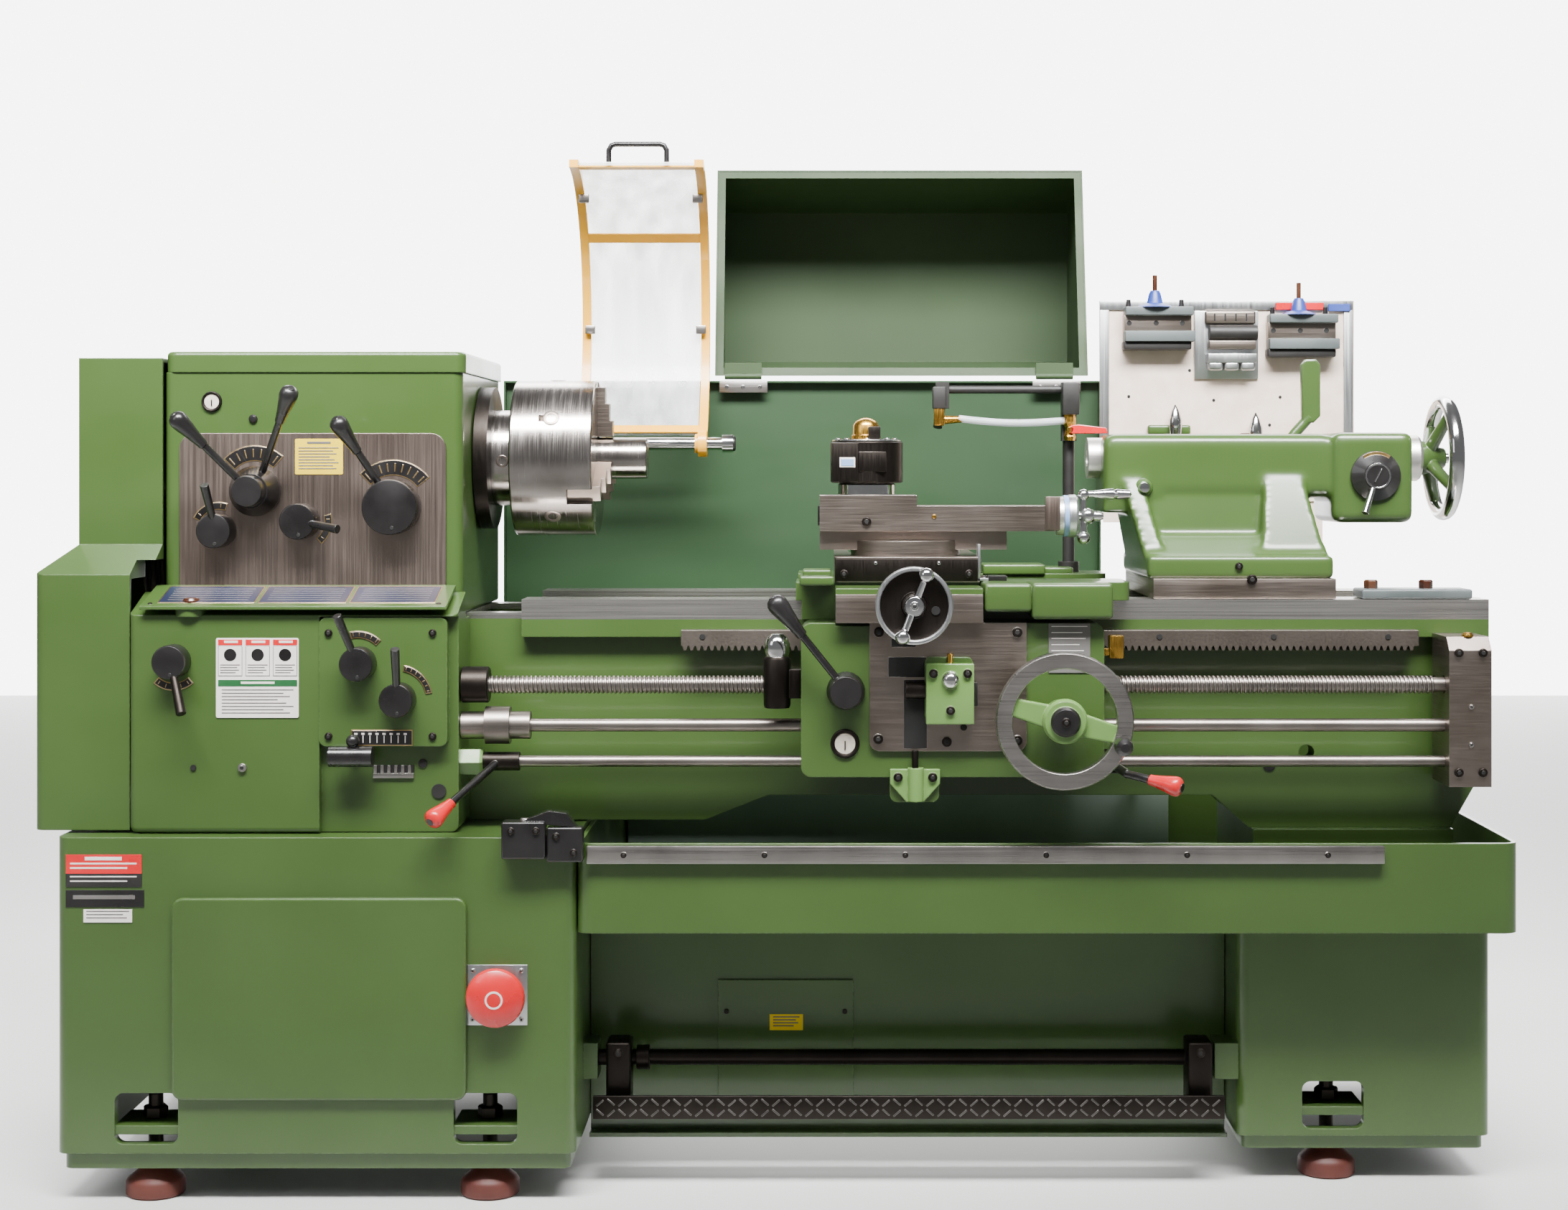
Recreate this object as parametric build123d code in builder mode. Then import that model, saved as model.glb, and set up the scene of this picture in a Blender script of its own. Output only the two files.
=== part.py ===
from build123d import *
import os
from math import cos, radians, sin

# Centre lathe on two pedestals.  Millimetres.  X runs along the bed with the headstock at -X, the operator
# stands at -Y, Z is up from the floor.  The origin is the centre of the footprint on the floor.

os.makedirs("parts", exist_ok=True)

# ---- driving dimensions ------------------------------------------------------------------------------------
LEFT_END, RIGHT_END = -1012, 1012   # gear cover's outer face, tray's right end
FRONT, BACK = -550, 550             # end of the apron wheel's handle, back of the hood
AXIS_Y, AXIS_Z = -140, 1010         # spindle axis
WAY_Z = 810                         # top of the bed ways
GAP = 0.3                           # clearance between pieces that move past each other
FIT = 0.05                          # radial clearance of a shaft in its bore

PEDESTAL_X, PEDESTAL_Y, PEDESTAL_Z = (-969, -266), (-440, 250), (67, 495)
LEG_X, LEG_Y, LEG_Z = (647, 1000), (-340, 240), (64, 365)    # set back under the tray
SHEET = 8                           # wall of the cast pedestals
FOOT_X, FOOT_Y = (-847, -388), (-392, 200)      # levelling feet of the left pedestal
LEG_FOOT_X, LEG_FOOT_Y = 780, (-292, 200)       # and of the right one
HINGE_PIN = (-868, 72)              # gear cover hinge, in X and Y
TRAY_Y, TRAY_Z = (-440, 330), (365, 487)
TRAY_FLOOR = 371
PAD_X, PAD_TOP = (676, 958), 486

BED_X = (-853, 1000)
WAY_X = (-356, 1007)
RAILS_Y = ((-305, -233), (-47, 25))
WALLS_Y = ((-285, -243), (-37, 5))
SEAT_Z = 790                        # seat of the headstock on the bed

HEAD_X, HEAD_Y, HEAD_TOP = (-853, -436), (-330, 60), 1129
COVER_TOP = 1158
GEARBOX_FRONT, GEARBOX_RIGHT_FRONT, GEARBOX_BACK = -410, -395, -286
SQUARE_COVER_FRONT = -412
GEARBOX_X, GEARBOX_STEP, GEARBOX_BOTTOM = (-879, -431), -619, 496
ROD_Y = -370
ROD_X = (-460, 970)
SCREW_Z, FEED_Z, CONTROL_Z = 696, 640, 590
SCREW_R, FEED_R, CONTROL_R = 12.5, 9, 8

DRIVE_Y, MOTOR_Z, INPUT_Z = -30, 330, 860
PULLEY_X = (-945, -900)

CHUCK_X, CHUCK_R = (-382, -263), 114
JAW_ANGLES = (90, 210, 330)
JAW_WIDTH = 24

APRON_X, APRON_Y, APRON_Z = (39, 452), (-420, -336), (574, 784)
SADDLE_Z = (WAY_Z + GAP, 836)
COMPOUND_X, COMPOUND_Y = 186, -265
TOP_SLIDE_X, TOP_SLIDE_Z = (64, 401), (906 + GAP, 957)
CRANK_Z = 927
POST_X = 131

GUARD_ROD_Y, GUARD_ROD_Z, GUARD_ROD_R = 95, 1034, 10
GUARD_X = (-319, -114)
GUARD_CENTRE = (-42, 1226)          # centre of the open guard's curve, in Y and Z
GUARD_R = 235
GUARD_ANGLES = (-50, 85)

HINGE_Y, HINGE_Z = 232, 1141        # hood hinge
HOOD_X = (-108, 500)
BRAKE_Y, BRAKE_Z = -310, 167

ROUND_END = 0.96                    # ball at the end of a grip, over the grip's own radius
BASE = (Align.CENTER, Align.CENTER, Align.MIN)


# ---- helpers used inside a BuildPart block -----------------------------------------------------------------
def front_plane(y):
    """Plane seen from the front: its x is X and its y is Z, and it extrudes towards the operator."""
    return Plane(origin=(0, y, 0), x_dir=(1, 0, 0), z_dir=(0, -1, 0))


def side_plane(x):
    """Plane seen from the right end: its x is Y and its y is Z, and it extrudes towards +X."""
    return Plane(origin=(x, 0, 0), x_dir=(0, 1, 0), z_dir=(1, 0, 0))


def inset(span, amount):
    return span[0] + amount, span[1] - amount


def block(x, y, z, mode=Mode.ADD):
    """Rectangular block between its limits."""
    with Locations((sum(x) / 2, sum(y) / 2, sum(z) / 2)):
        Box(x[1] - x[0], y[1] - y[0], z[1] - z[0], mode=mode)


def top_slab(x, y, z, corner, mode=Mode.ADD):
    """Block with its upright edges rounded."""
    with BuildSketch(Plane.XY.offset(z[0])) as outline:
        with Locations((sum(x) / 2, sum(y) / 2)):
            RectangleRounded(x[1] - x[0], y[1] - y[0], corner)
    extrude(outline.sketch, amount=z[1] - z[0], mode=mode)


def front_slab(x, y, z, corner, mode=Mode.ADD):
    """Block whose corners are rounded as seen from the front."""
    with BuildSketch(front_plane(y[1])) as outline:
        with Locations((sum(x) / 2, sum(z) / 2)):
            RectangleRounded(x[1] - x[0], z[1] - z[0], corner)
    extrude(outline.sketch, amount=y[1] - y[0], mode=mode)


def side_slab(x, y, z, corner, mode=Mode.ADD):
    """Block whose corners are rounded as seen from the end."""
    with BuildSketch(side_plane(x[0])) as outline:
        with Locations((sum(y) / 2, sum(z) / 2)):
            RectangleRounded(y[1] - y[0], z[1] - z[0], corner)
    extrude(outline.sketch, amount=x[1] - x[0], mode=mode)


def prism(plane, points, depth, corner=0, mode=Mode.ADD):
    """Straight-sided outline, its corners rounded if a radius is given, extruded from a plane."""
    with BuildSketch(plane) as outline:
        with BuildLine():
            Polyline(*points, close=True)
        make_face()
        if corner:
            fillet(outline.vertices(), corner)
    extrude(outline.sketch, amount=depth, mode=mode)


def shaft_x(x, y, z, radius, mode=Mode.ADD):
    with Locations((sum(x) / 2, y, z)):
        Cylinder(radius, x[1] - x[0], rotation=(0, 90, 0), mode=mode)


def shaft_y(x, y, z, radius, mode=Mode.ADD):
    with Locations((x, sum(y) / 2, z)):
        Cylinder(radius, y[1] - y[0], rotation=(90, 0, 0), mode=mode)


def shaft_z(x, y, z, radius, mode=Mode.ADD):
    with Locations((x, y, sum(z) / 2)):
        Cylinder(radius, z[1] - z[0], mode=mode)


def bar(start, end, radius, end_radius=None):
    """Round bar, or a taper, from one point to another."""
    way = Vector(*end) - Vector(*start)
    with Locations(Plane(origin=start, z_dir=way)):
        if end_radius is None:
            Cylinder(radius, way.length, align=BASE)
        else:
            Cone(radius, end_radius, way.length, align=BASE)


def ball(centre, radius, mode=Mode.ADD):
    with Locations(centre):
        Sphere(radius, mode=mode)


def lever(hub, hub_radius, hub_y, tip, grip=9, rod=5):
    """Round hub on a front face with a cranked bar that ends in a tapered grip."""
    shaft_y(hub[0], hub_y, hub[1], hub_radius)
    way = Vector(tip[0] - hub[0], 0, tip[2] - hub[1]).normalized() * (0.7 * hub_radius)
    start = (hub[0] + way.X, hub_y[0] + 6, hub[1] + way.Z)
    knee = tuple(a + 0.55 * (b - a) for a, b in zip(start, tip))
    bar(start, tip, rod)
    bar(knee, tip, grip * 0.65, grip)
    ball(tip, grip * ROUND_END)


def save(piece, name):
    """Labels a finished piece and writes it."""
    piece.part.label = name
    export_step(piece.part, f"parts/{name}.step")


# ---- stand -------------------------------------------------------------------------------------------------
def pedestal_shell(x, y, z, plinth):
    """Hollow cast box, open below, that steps in to a plinth at the floor."""
    top_slab(x, y, z, 16)
    top_slab(inset(x, 8), inset(y, 8), (plinth, z[0]), 12)
    top_slab(inset(x, SHEET + 8), inset(y, SHEET + 8), (plinth, z[1] - SHEET), 8, Mode.SUBTRACT)


def foot_bracket(x, y):
    """Bored shelf in a pedestal that a levelling screw passes through."""
    towards_wall = -1 if y < 0 else 1
    reach = sorted((y - towards_wall * 40, y + towards_wall * 44))
    block((x - 45, x + 45), reach, (92, 104))
    shaft_z(x, y, (90, 106), 10 + GAP, Mode.SUBTRACT)


with BuildPart() as left_pedestal:
    pedestal_shell(PEDESTAL_X, PEDESTAL_Y, PEDESTAL_Z, 45)
    block(inset(PEDESTAL_X, SHEET), (DRIVE_Y - 100, DRIVE_Y + 100), (207, 217))
    block((-268, -246), (BRAKE_Y - 25, BRAKE_Y + 25), (BRAKE_Z - 25, BRAKE_Z + 25))
    shaft_x((-270, -246), BRAKE_Y, BRAKE_Z, 11 + GAP, Mode.SUBTRACT)
    for foot_x in FOOT_X:
        front_slab((foot_x - 43, foot_x + 43), (-450, -410), (80, 149), 12, Mode.SUBTRACT)
        for foot_y in FOOT_Y:
            foot_bracket(foot_x, foot_y)
    block((-952, -893), (DRIVE_Y - 75, DRIVE_Y + 75), (480, 500), Mode.SUBTRACT)
save(left_pedestal, "left_pedestal")

with BuildPart() as right_pedestal:
    pedestal_shell(LEG_X, LEG_Y, LEG_Z, 45)
    block((616, 649), (BRAKE_Y - 25, BRAKE_Y + 25), (BRAKE_Z - 25, BRAKE_Z + 25))
    shaft_x((616, 640), BRAKE_Y, BRAKE_Z, 11 + GAP, Mode.SUBTRACT)
    front_slab((LEG_FOOT_X - 43, LEG_FOOT_X + 43), (-350, -310), (74, 140), 12, Mode.SUBTRACT)
    for foot_y in LEG_FOOT_Y:
        foot_bracket(LEG_FOOT_X, foot_y)
save(right_pedestal, "right_pedestal")

with BuildPart() as stand_rear_panel:
    block((-265, LEG_X[0] - 1), (-234, -230), (40, 364))
    block((-265, LEG_X[0] - 1), (-258, -230), (40, 46))
    block((-82, 112), (-238, -230), (60, 260))
save(stand_rear_panel, "stand_rear_panel")

with BuildPart() as chip_tray:
    top_slab((-265, RIGHT_END), TRAY_Y, TRAY_Z, 20)
    top_slab((-259, RIGHT_END - 6), inset(TRAY_Y, 6), (TRAY_FLOOR, TRAY_Z[1] + 1), 14, Mode.SUBTRACT)
    block(PAD_X, (-300, 20), (TRAY_FLOOR, PAD_TOP))
save(chip_tray, "chip_tray")

with BuildPart() as levelling_feet:
    feet = [(x, y) for x in FOOT_X for y in FOOT_Y] + [(LEG_FOOT_X, y) for y in LEG_FOOT_Y]
    for foot_x, foot_y in feet:
        shaft_z(foot_x, foot_y, (0, 26), 40)
        bar((foot_x, foot_y, 26), (foot_x, foot_y, 40), 34, 18)
        shaft_z(foot_x, foot_y, (38, 138), 10)
        with BuildSketch(Plane.XY.offset(105)) as nut:
            with Locations((foot_x, foot_y)):
                RegularPolygon(16, 6)
        extrude(nut.sketch, amount=16)
save(levelling_feet, "levelling_feet")

# ---- bed ---------------------------------------------------------------------------------------------------
BED_WALL = ((BED_X[0], 497), (-98, 497), (-8, 532), (620, 532), (672, PAD_TOP), (958, PAD_TOP),
            (BED_X[1], 560), (BED_X[1], 790), (BED_X[0], 790))
with BuildPart() as bed:
    for rail_y, wall_y in zip(RAILS_Y, WALLS_Y):
        prism(front_plane(wall_y[1]), BED_WALL, wall_y[1] - wall_y[0])
        block(WAY_X, rail_y, (757, WAY_Z))
        groove = sum(rail_y) / 2 - 6
        block((WAY_X[0] - 1, WAY_X[1] + 1), (groove, groove + 12), (WAY_Z - 5, WAY_Z + 1), Mode.SUBTRACT)
    for rib_x in range(-760, 1000, 244):
        block((rib_x - 10, rib_x + 10), (WALLS_Y[0][0] + 5, WALLS_Y[1][1] - 5), (570, 745))
    block((BED_X[0], HEAD_X[1]), (WALLS_Y[0][0], WALLS_Y[1][1]), (745, SEAT_Z))
    shaft_y(754, (-290, -240), 592, 11, Mode.SUBTRACT)
save(bed, "bed")

TOOTH = 9.42
RACK_X = (-130, 903)
with BuildPart() as feed_rack:
    rack_outline = [(RACK_X[1], 768), (RACK_X[0], 768)]
    for tooth in range(int((RACK_X[1] - RACK_X[0]) / TOOTH)):
        root = RACK_X[0] + tooth * TOOTH
        rack_outline += [(root, 746), (root + 1.9, 746), (root + 4, 739.5), (root + 7.3, 739.5)]
    rack_outline += [(root + TOOTH, 746), (RACK_X[1], 746)]
    prism(front_plane(-305), rack_outline, 22)
save(feed_rack, "feed_rack")

# ---- headstock and feed gearbox ----------------------------------------------------------------------------
with BuildPart() as headstock_casting:
    top_slab(HEAD_X, HEAD_Y, (SEAT_Z, HEAD_TOP), 14)
    fillet(headstock_casting.edges().group_by(Axis.Z)[0], 5)
    top_slab(inset(HEAD_X, 20), inset(HEAD_Y, 20), (830, HEAD_TOP + 1), 8, Mode.SUBTRACT)
    shaft_x((HEAD_X[0] - 1, HEAD_X[1] + 1), AXIS_Y, AXIS_Z, 45 + FIT, Mode.SUBTRACT)
    shaft_x((HEAD_X[0] - 1, HEAD_X[0] + 40), DRIVE_Y, INPUT_Z, 15 + FIT, Mode.SUBTRACT)
save(headstock_casting, "headstock_casting")

with BuildPart() as headstock_cover:
    top_slab((HEAD_X[0] + 2, HEAD_X[1] + 4), (HEAD_Y[0] - 2, HEAD_Y[1] + 2), (HEAD_TOP, COVER_TOP), 16)
    fillet(headstock_cover.edges().group_by(Axis.Z)[-1], 6)
    top_slab(inset(HEAD_X, 14), inset(HEAD_Y, 14), (HEAD_TOP, HEAD_TOP + 20), 8, Mode.SUBTRACT)
save(headstock_cover, "headstock_cover")

GEARBOX_SIDE = ((GEARBOX_FRONT, GEARBOX_BOTTOM), (GEARBOX_BACK, GEARBOX_BOTTOM), (GEARBOX_BACK, 786),
                (HEAD_Y[0] - 1, 786), (HEAD_Y[0] - 1, 822), (GEARBOX_FRONT, 794))
with BuildPart() as feed_gearbox:
    prism(side_plane(GEARBOX_X[0]), GEARBOX_SIDE, GEARBOX_X[1] - GEARBOX_X[0])
    fillet(feed_gearbox.edges().filter_by(Axis.X).group_by(Axis.Z)[0], 8)
    fillet(feed_gearbox.edges().filter_by(Axis.Z).group_by(Axis.Y)[0], 10)
    block((GEARBOX_STEP, GEARBOX_X[1] + 1), (GEARBOX_FRONT - 1, GEARBOX_RIGHT_FRONT), (480, 792), Mode.SUBTRACT)
    front_slab((GEARBOX_STEP, -444), (SQUARE_COVER_FRONT, GEARBOX_RIGHT_FRONT + 1), (615, 791), 10)
    block(inset(GEARBOX_X, 14), (GEARBOX_RIGHT_FRONT + 10, GEARBOX_BACK + 1), (510, 770), Mode.SUBTRACT)
    for rod_z, rod_r in ((SCREW_Z, SCREW_R), (FEED_Z, FEED_R), (CONTROL_Z, CONTROL_R)):
        shaft_x((GEARBOX_X[1] - 20, GEARBOX_X[1] + 1), ROD_Y, rod_z, rod_r + FIT, Mode.SUBTRACT)
save(feed_gearbox, "feed_gearbox")

END_SIDE = ((-400, 558), (-306, 558), (-306, 763), (-384, 763), (-400, 745))
with BuildPart() as screw_end_bracket:
    prism(side_plane(927), END_SIDE, 58)
    for rod_z, rod_r in ((SCREW_Z, SCREW_R), (FEED_Z, FEED_R), (CONTROL_Z, CONTROL_R)):
        shaft_x((926, 972), ROD_Y, rod_z, rod_r + FIT, Mode.SUBTRACT)
save(screw_end_bracket, "screw_end_bracket")

with BuildPart() as electrics_cabinet:
    top_slab((-840, -500), (HEAD_Y[1] + 1, 270), (620, 1080), 6)
    block((-834, -506), (HEAD_Y[1] + 7, 264), (626, 1074), Mode.SUBTRACT)
    block((-700, -640), (150, 190), (615, 630), Mode.SUBTRACT)
save(electrics_cabinet, "electrics_cabinet")

with BuildPart() as drive_motor:
    shaft_x((-860, -560), DRIVE_Y, MOTOR_Z, 90)
    block((-820, -610), (DRIVE_Y - 85, DRIVE_Y + 85), (217, 270))
    block((-780, -680), (DRIVE_Y - 40, DRIVE_Y + 40), (MOTOR_Z + 70, MOTOR_Z + 125))
    shaft_x((-861, -800), DRIVE_Y, MOTOR_Z, 14 + FIT, Mode.SUBTRACT)
save(drive_motor, "drive_motor")


def grooved_pulley(z, radius, bore_x, shaft_radius):
    """Three-groove pulley on its shaft."""
    shaft_x(PULLEY_X, DRIVE_Y, z, radius)
    for groove in range(3):
        middle = PULLEY_X[0] + 9 + groove * 13.5
        with BuildSketch(Plane.XZ.offset(-DRIVE_Y)) as vee:
            with BuildLine():
                Polyline((middle - 5, z + radius + 1), (middle - 3, z + radius - 9),
                         (middle + 3, z + radius - 9), (middle + 5, z + radius + 1), close=True)
            make_face()
        revolve(vee.sketch, axis=Axis((0, DRIVE_Y, z), (1, 0, 0)), mode=Mode.SUBTRACT)
    shaft_x(bore_x, DRIVE_Y, z, shaft_radius)


with BuildPart() as motor_pulley:
    grooved_pulley(MOTOR_Z, 50, (-950, -810), 14)
save(motor_pulley, "motor_pulley")

with BuildPart() as input_pulley:
    grooved_pulley(INPUT_Z, 80, (-950, -830), 15)
save(input_pulley, "input_pulley")

# The cover over belts and gears is a shell open towards the headstock: a wide lower tier and a narrow upper one.
GEAR_COVER = ((-881, 499), (LEFT_END, 499), (LEFT_END, 849), (-972, 888), (-972, 1149), (-855, 1149),
              (-855, 868), (-881, 868))
GEAR_COVER_HOLLOW = ((-870, 490), (-1006, 490), (-1006, 846), (-966, 885), (-966, 1143), (-840, 1143),
                     (-840, 867), (-870, 867))
UPPER_FRONT = ((-401, 849), (-400, 849), (-330, 888), (-330, 1160), (-401, 1160))
HINGE_PIN = (-868, 72)
with BuildPart() as gear_cover:
    prism(front_plane(60), GEAR_COVER, 460)
    prism(side_plane(LEFT_END - 1), UPPER_FRONT, 200, mode=Mode.SUBTRACT)
    fillet(gear_cover.edges().filter_by(Axis.Z).group_by(Axis.X)[0], 14)
    prism(front_plane(54), GEAR_COVER_HOLLOW, 378, mode=Mode.SUBTRACT)
    block((-1006, -870), (-394, -323), (490, 843), Mode.SUBTRACT)
    for knuckle_z in (560, 1060):
        block((-900, -858), (56, 80), (knuckle_z, knuckle_z + 40))
        shaft_z(HINGE_PIN[0], HINGE_PIN[1], (knuckle_z - 12, knuckle_z + 52), 6)
save(gear_cover, "gear_cover")

# ---- spindle and chuck -------------------------------------------------------------------------------------
with BuildPart() as spindle:
    shaft_x((-930, HEAD_X[1] + 2), AXIS_Y, AXIS_Z, 45)
    shaft_x((HEAD_X[1] + 2, CHUCK_X[0] - 32), AXIS_Y, AXIS_Z, 104)
    shaft_x((-900, -876), AXIS_Y, AXIS_Z, 58)
    shaft_x((-720, -680), AXIS_Y, AXIS_Z, 98)
    shaft_x((-640, -605), AXIS_Y, AXIS_Z, 72)
    shaft_x((-931, CHUCK_X[0] - 31), AXIS_Y, AXIS_Z, 26, Mode.SUBTRACT)
save(spindle, "spindle")

with BuildPart() as chuck_backplate:
    shaft_x((CHUCK_X[0] - 32, CHUCK_X[0]), AXIS_Y, AXIS_Z, 70)
    shaft_x((CHUCK_X[0] - 33, CHUCK_X[0] + 1), AXIS_Y, AXIS_Z, 26, Mode.SUBTRACT)
save(chuck_backplate, "chuck_backplate")


def radial(angle):
    """Plane at the chuck's axis whose x points outwards along a jaw and whose y runs across it."""
    outwards = (0, cos(radians(angle)), sin(radians(angle)))
    return Plane(origin=(0, AXIS_Y, AXIS_Z), x_dir=outwards, z_dir=(1, 0, 0))


def radial_block(angle, reach, width, x, mode=Mode.ADD):
    """Block that lies along one radius of the chuck, between two radii and two stations on X."""
    with BuildSketch(radial(angle).offset(x[0])) as outline:
        with Locations((sum(reach) / 2, 0)):
            Rectangle(reach[1] - reach[0], width)
    extrude(outline.sketch, amount=x[1] - x[0], mode=mode)


with BuildPart() as chuck_body:
    shaft_x(CHUCK_X, AXIS_Y, AXIS_Z, CHUCK_R)
    fillet(chuck_body.edges(), 3)
    shaft_x((CHUCK_X[0] - 1, CHUCK_X[1] + 1), AXIS_Y, AXIS_Z, 32, Mode.SUBTRACT)
    for jaw_angle in JAW_ANGLES:
        radial_block(jaw_angle, (20, CHUCK_R + 2), JAW_WIDTH + 2 * GAP, (-300, CHUCK_X[1] + 1), Mode.SUBTRACT)
        radial_block(jaw_angle + 60, (CHUCK_R - 22, CHUCK_R + 2), 11, (-340, -329), Mode.SUBTRACT)
save(chuck_body, "chuck_body")

for jaw_number, jaw_angle in enumerate(JAW_ANGLES, 1):
    with BuildPart() as chuck_jaw:
        radial_block(jaw_angle, (33, 104), JAW_WIDTH, (-300 + GAP, CHUCK_X[1] + 2))
        radial_block(jaw_angle, (68, 104), JAW_WIDTH, (CHUCK_X[1], CHUCK_X[1] + 11))
        radial_block(jaw_angle, (50, 80), JAW_WIDTH, (CHUCK_X[1], CHUCK_X[1] + 17))
        radial_block(jaw_angle, (32, 55), JAW_WIDTH, (CHUCK_X[1], CHUCK_X[1] + 22))
    save(chuck_jaw, f"chuck_jaw_{jaw_number}")

# ---- rods --------------------------------------------------------------------------------------------------
with BuildPart() as leadscrew:
    shaft_x(ROD_X, ROD_Y, SCREW_Z, SCREW_R)
    shaft_x((-430, -394), ROD_Y, SCREW_Z, 25)
save(leadscrew, "leadscrew")

with BuildPart() as feed_rod:
    shaft_x(ROD_X, ROD_Y, FEED_Z, FEED_R)
    shaft_x((-430, -397), ROD_Y, FEED_Z, 19)
    shaft_x((-397, -363), ROD_Y, FEED_Z, 26)
    shaft_x((-363, -335), ROD_Y, FEED_Z, 19)
save(feed_rod, "feed_rod")

with BuildPart() as control_rod:
    shaft_x(ROD_X, ROD_Y, CONTROL_Z, CONTROL_R)
    shaft_x((-402, -352), ROD_Y, CONTROL_Z, 13)
    bar((-380, ROD_Y, CONTROL_Z), (-428, -446, 548), 5)
    bar((-415, -425, 560), (-456, -488, 522), 8, 13)
    ball((-456, -488, 522), 13 * ROUND_END)
save(control_rod, "control_rod")

# ---- headstock and gearbox levers --------------------------------------------------------------------------
FACE = HEAD_Y[0] - 1 - GAP
LEVER_SET = {
    "speed_lever_left": ((-723, 963), 21, (FACE - 42, FACE - 28), (-812, -440, 1068)),
    "speed_lever_right": ((-723, 963), 35, (FACE - 27.5, FACE), (-651, -440, 1104)),
    "range_lever": ((-531, 941), 38, (FACE - 34, FACE), (-596, -420, 1063)),
    "feed_direction_lever": ((-775, 908), 24, (FACE - 26, FACE), (-781, -392, 972)),
    "feed_range_lever": ((-659, 921), 25, (FACE - 26, FACE), (-598, -392, 911)),
    "gearbox_lever_1": ((-817, 732), 22, (-440, GEARBOX_FRONT - GAP), (-794, -462, 664)),
    "gearbox_lever_2": ((-563, 729), 23, (-440, SQUARE_COVER_FRONT - GAP), (-584, -466, 797)),
    "gearbox_lever_3": ((-509, 680), 23, (-440, SQUARE_COVER_FRONT - GAP), (-506, -466, 752)),
}
for lever_name, (hub, hub_radius, hub_y, tip) in LEVER_SET.items():
    with BuildPart() as hand_lever:
        lever(hub, hub_radius, hub_y, tip, grip=10 if hub_radius > 30 or "left" in lever_name else 8)
    save(hand_lever, lever_name)

with BuildPart() as tumbler_plunger:
    shaft_x((-602, -543), -428, 603, 14)
    ball((-570, -428, 624), 9)
    shaft_y(-572, (-428, GEARBOX_RIGHT_FRONT - GAP), 603, 7)
save(tumbler_plunger, "tumbler_plunger")

# ---- carriage ----------------------------------------------------------------------------------------------
with BuildPart() as saddle:
    block((31, 497), (-340, -225), SADDLE_Z)
    block((31, 497), (-55, 62), SADDLE_Z)
    block((82, 290), (-340, 62), SADDLE_Z)
    block((39, 452), (-340, -306), (APRON_Z[1], SADDLE_Z[1]))
    block((86, 286), (-438, -340), (790, 832))
    fillet(saddle.edges().filter_by(Axis.Z).group_by(Axis.X)[-1], 12)
    shaft_y(191, (-440, -380), 811, 9 + FIT, Mode.SUBTRACT)
save(saddle, "saddle")

with BuildPart() as apron:
    front_slab(APRON_X, APRON_Y, APRON_Z, 14)
    block((86, 286), (-440, APRON_Y[1]), (780, 840), Mode.SUBTRACT)
    block(inset(APRON_X, 16), (APRON_Y[0] + 16, APRON_Y[1] + 1), (590, 762), Mode.SUBTRACT)
    front_slab((160, 227), (APRON_Y[0], APRON_Y[0] + 40), (540, 600), 10)
    for rod_z, rod_r in ((SCREW_Z, SCREW_R), (FEED_Z, FEED_R), (CONTROL_Z, CONTROL_R)):
        shaft_x((APRON_X[0] - 1, APRON_X[1] + 1), ROD_Y, rod_z, rod_r + 0.1, Mode.SUBTRACT)
    front_slab((207, 272), (-438, APRON_Y[0] + 1), (652, 739), 8)
save(apron, "apron")


def rim_ring(plane, radius, rim):
    """Flat-sided rim, centred on the middle of its own thickness."""
    with BuildSketch(plane.offset(-0.8 * rim)) as ring:
        Circle(radius)
        Circle(radius - 2 * rim, mode=Mode.SUBTRACT)
    extrude(ring.sketch, amount=1.6 * rim)


def spoked_wheel(centre, y, radius, rim, hub, hub_y, spokes, handle):
    """Handwheel that faces the operator: hub, spokes, rim and a turned handle."""
    shaft_y(centre[0], hub_y, centre[1], hub)
    rim_ring(Plane(origin=(centre[0], y, centre[1]), x_dir=(1, 0, 0), z_dir=(0, -1, 0)), radius, rim)
    for angle in spokes:
        reach = radius - rim
        end = (centre[0] + reach * cos(radians(angle)), y, centre[1] + reach * sin(radians(angle)))
        bar((centre[0], y, centre[1]), end, rim * 0.7)
    if handle:
        angle, length = handle
        x = centre[0] + (radius - rim) * cos(radians(angle))
        z = centre[1] + (radius - rim) * sin(radians(angle))
        bar((x, y, z), (x, y - length, z), 7, 13)


with BuildPart() as apron_handwheel:
    spoked_wheel((391, 658), -490, 92, 11, 25, (-504, APRON_Y[0] - GAP), (20, 200), (-22, -490 - FRONT))
save(apron_handwheel, "apron_handwheel")

with BuildPart() as half_nut_lever:
    lever((100, 692), 23, (-446, APRON_Y[0] - GAP), (0, -470, 822), grip=9)
save(half_nut_lever, "half_nut_lever")

with BuildPart() as apron_control_lever:
    shaft_x((APRON_X[1] + 1, 478), ROD_Y, CONTROL_Z, 17)
    shaft_x((APRON_X[1], 479), ROD_Y, CONTROL_Z, CONTROL_R + 0.1, Mode.SUBTRACT)
    bar((466, ROD_Y - 12, CONTROL_Z), (484, -452, 580), 5)
    bar((482, -448, 580), (543, -486, 570), 8, 13)
    ball((543, -486, 570), 13 * ROUND_END)
save(apron_control_lever, "apron_control_lever")

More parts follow.
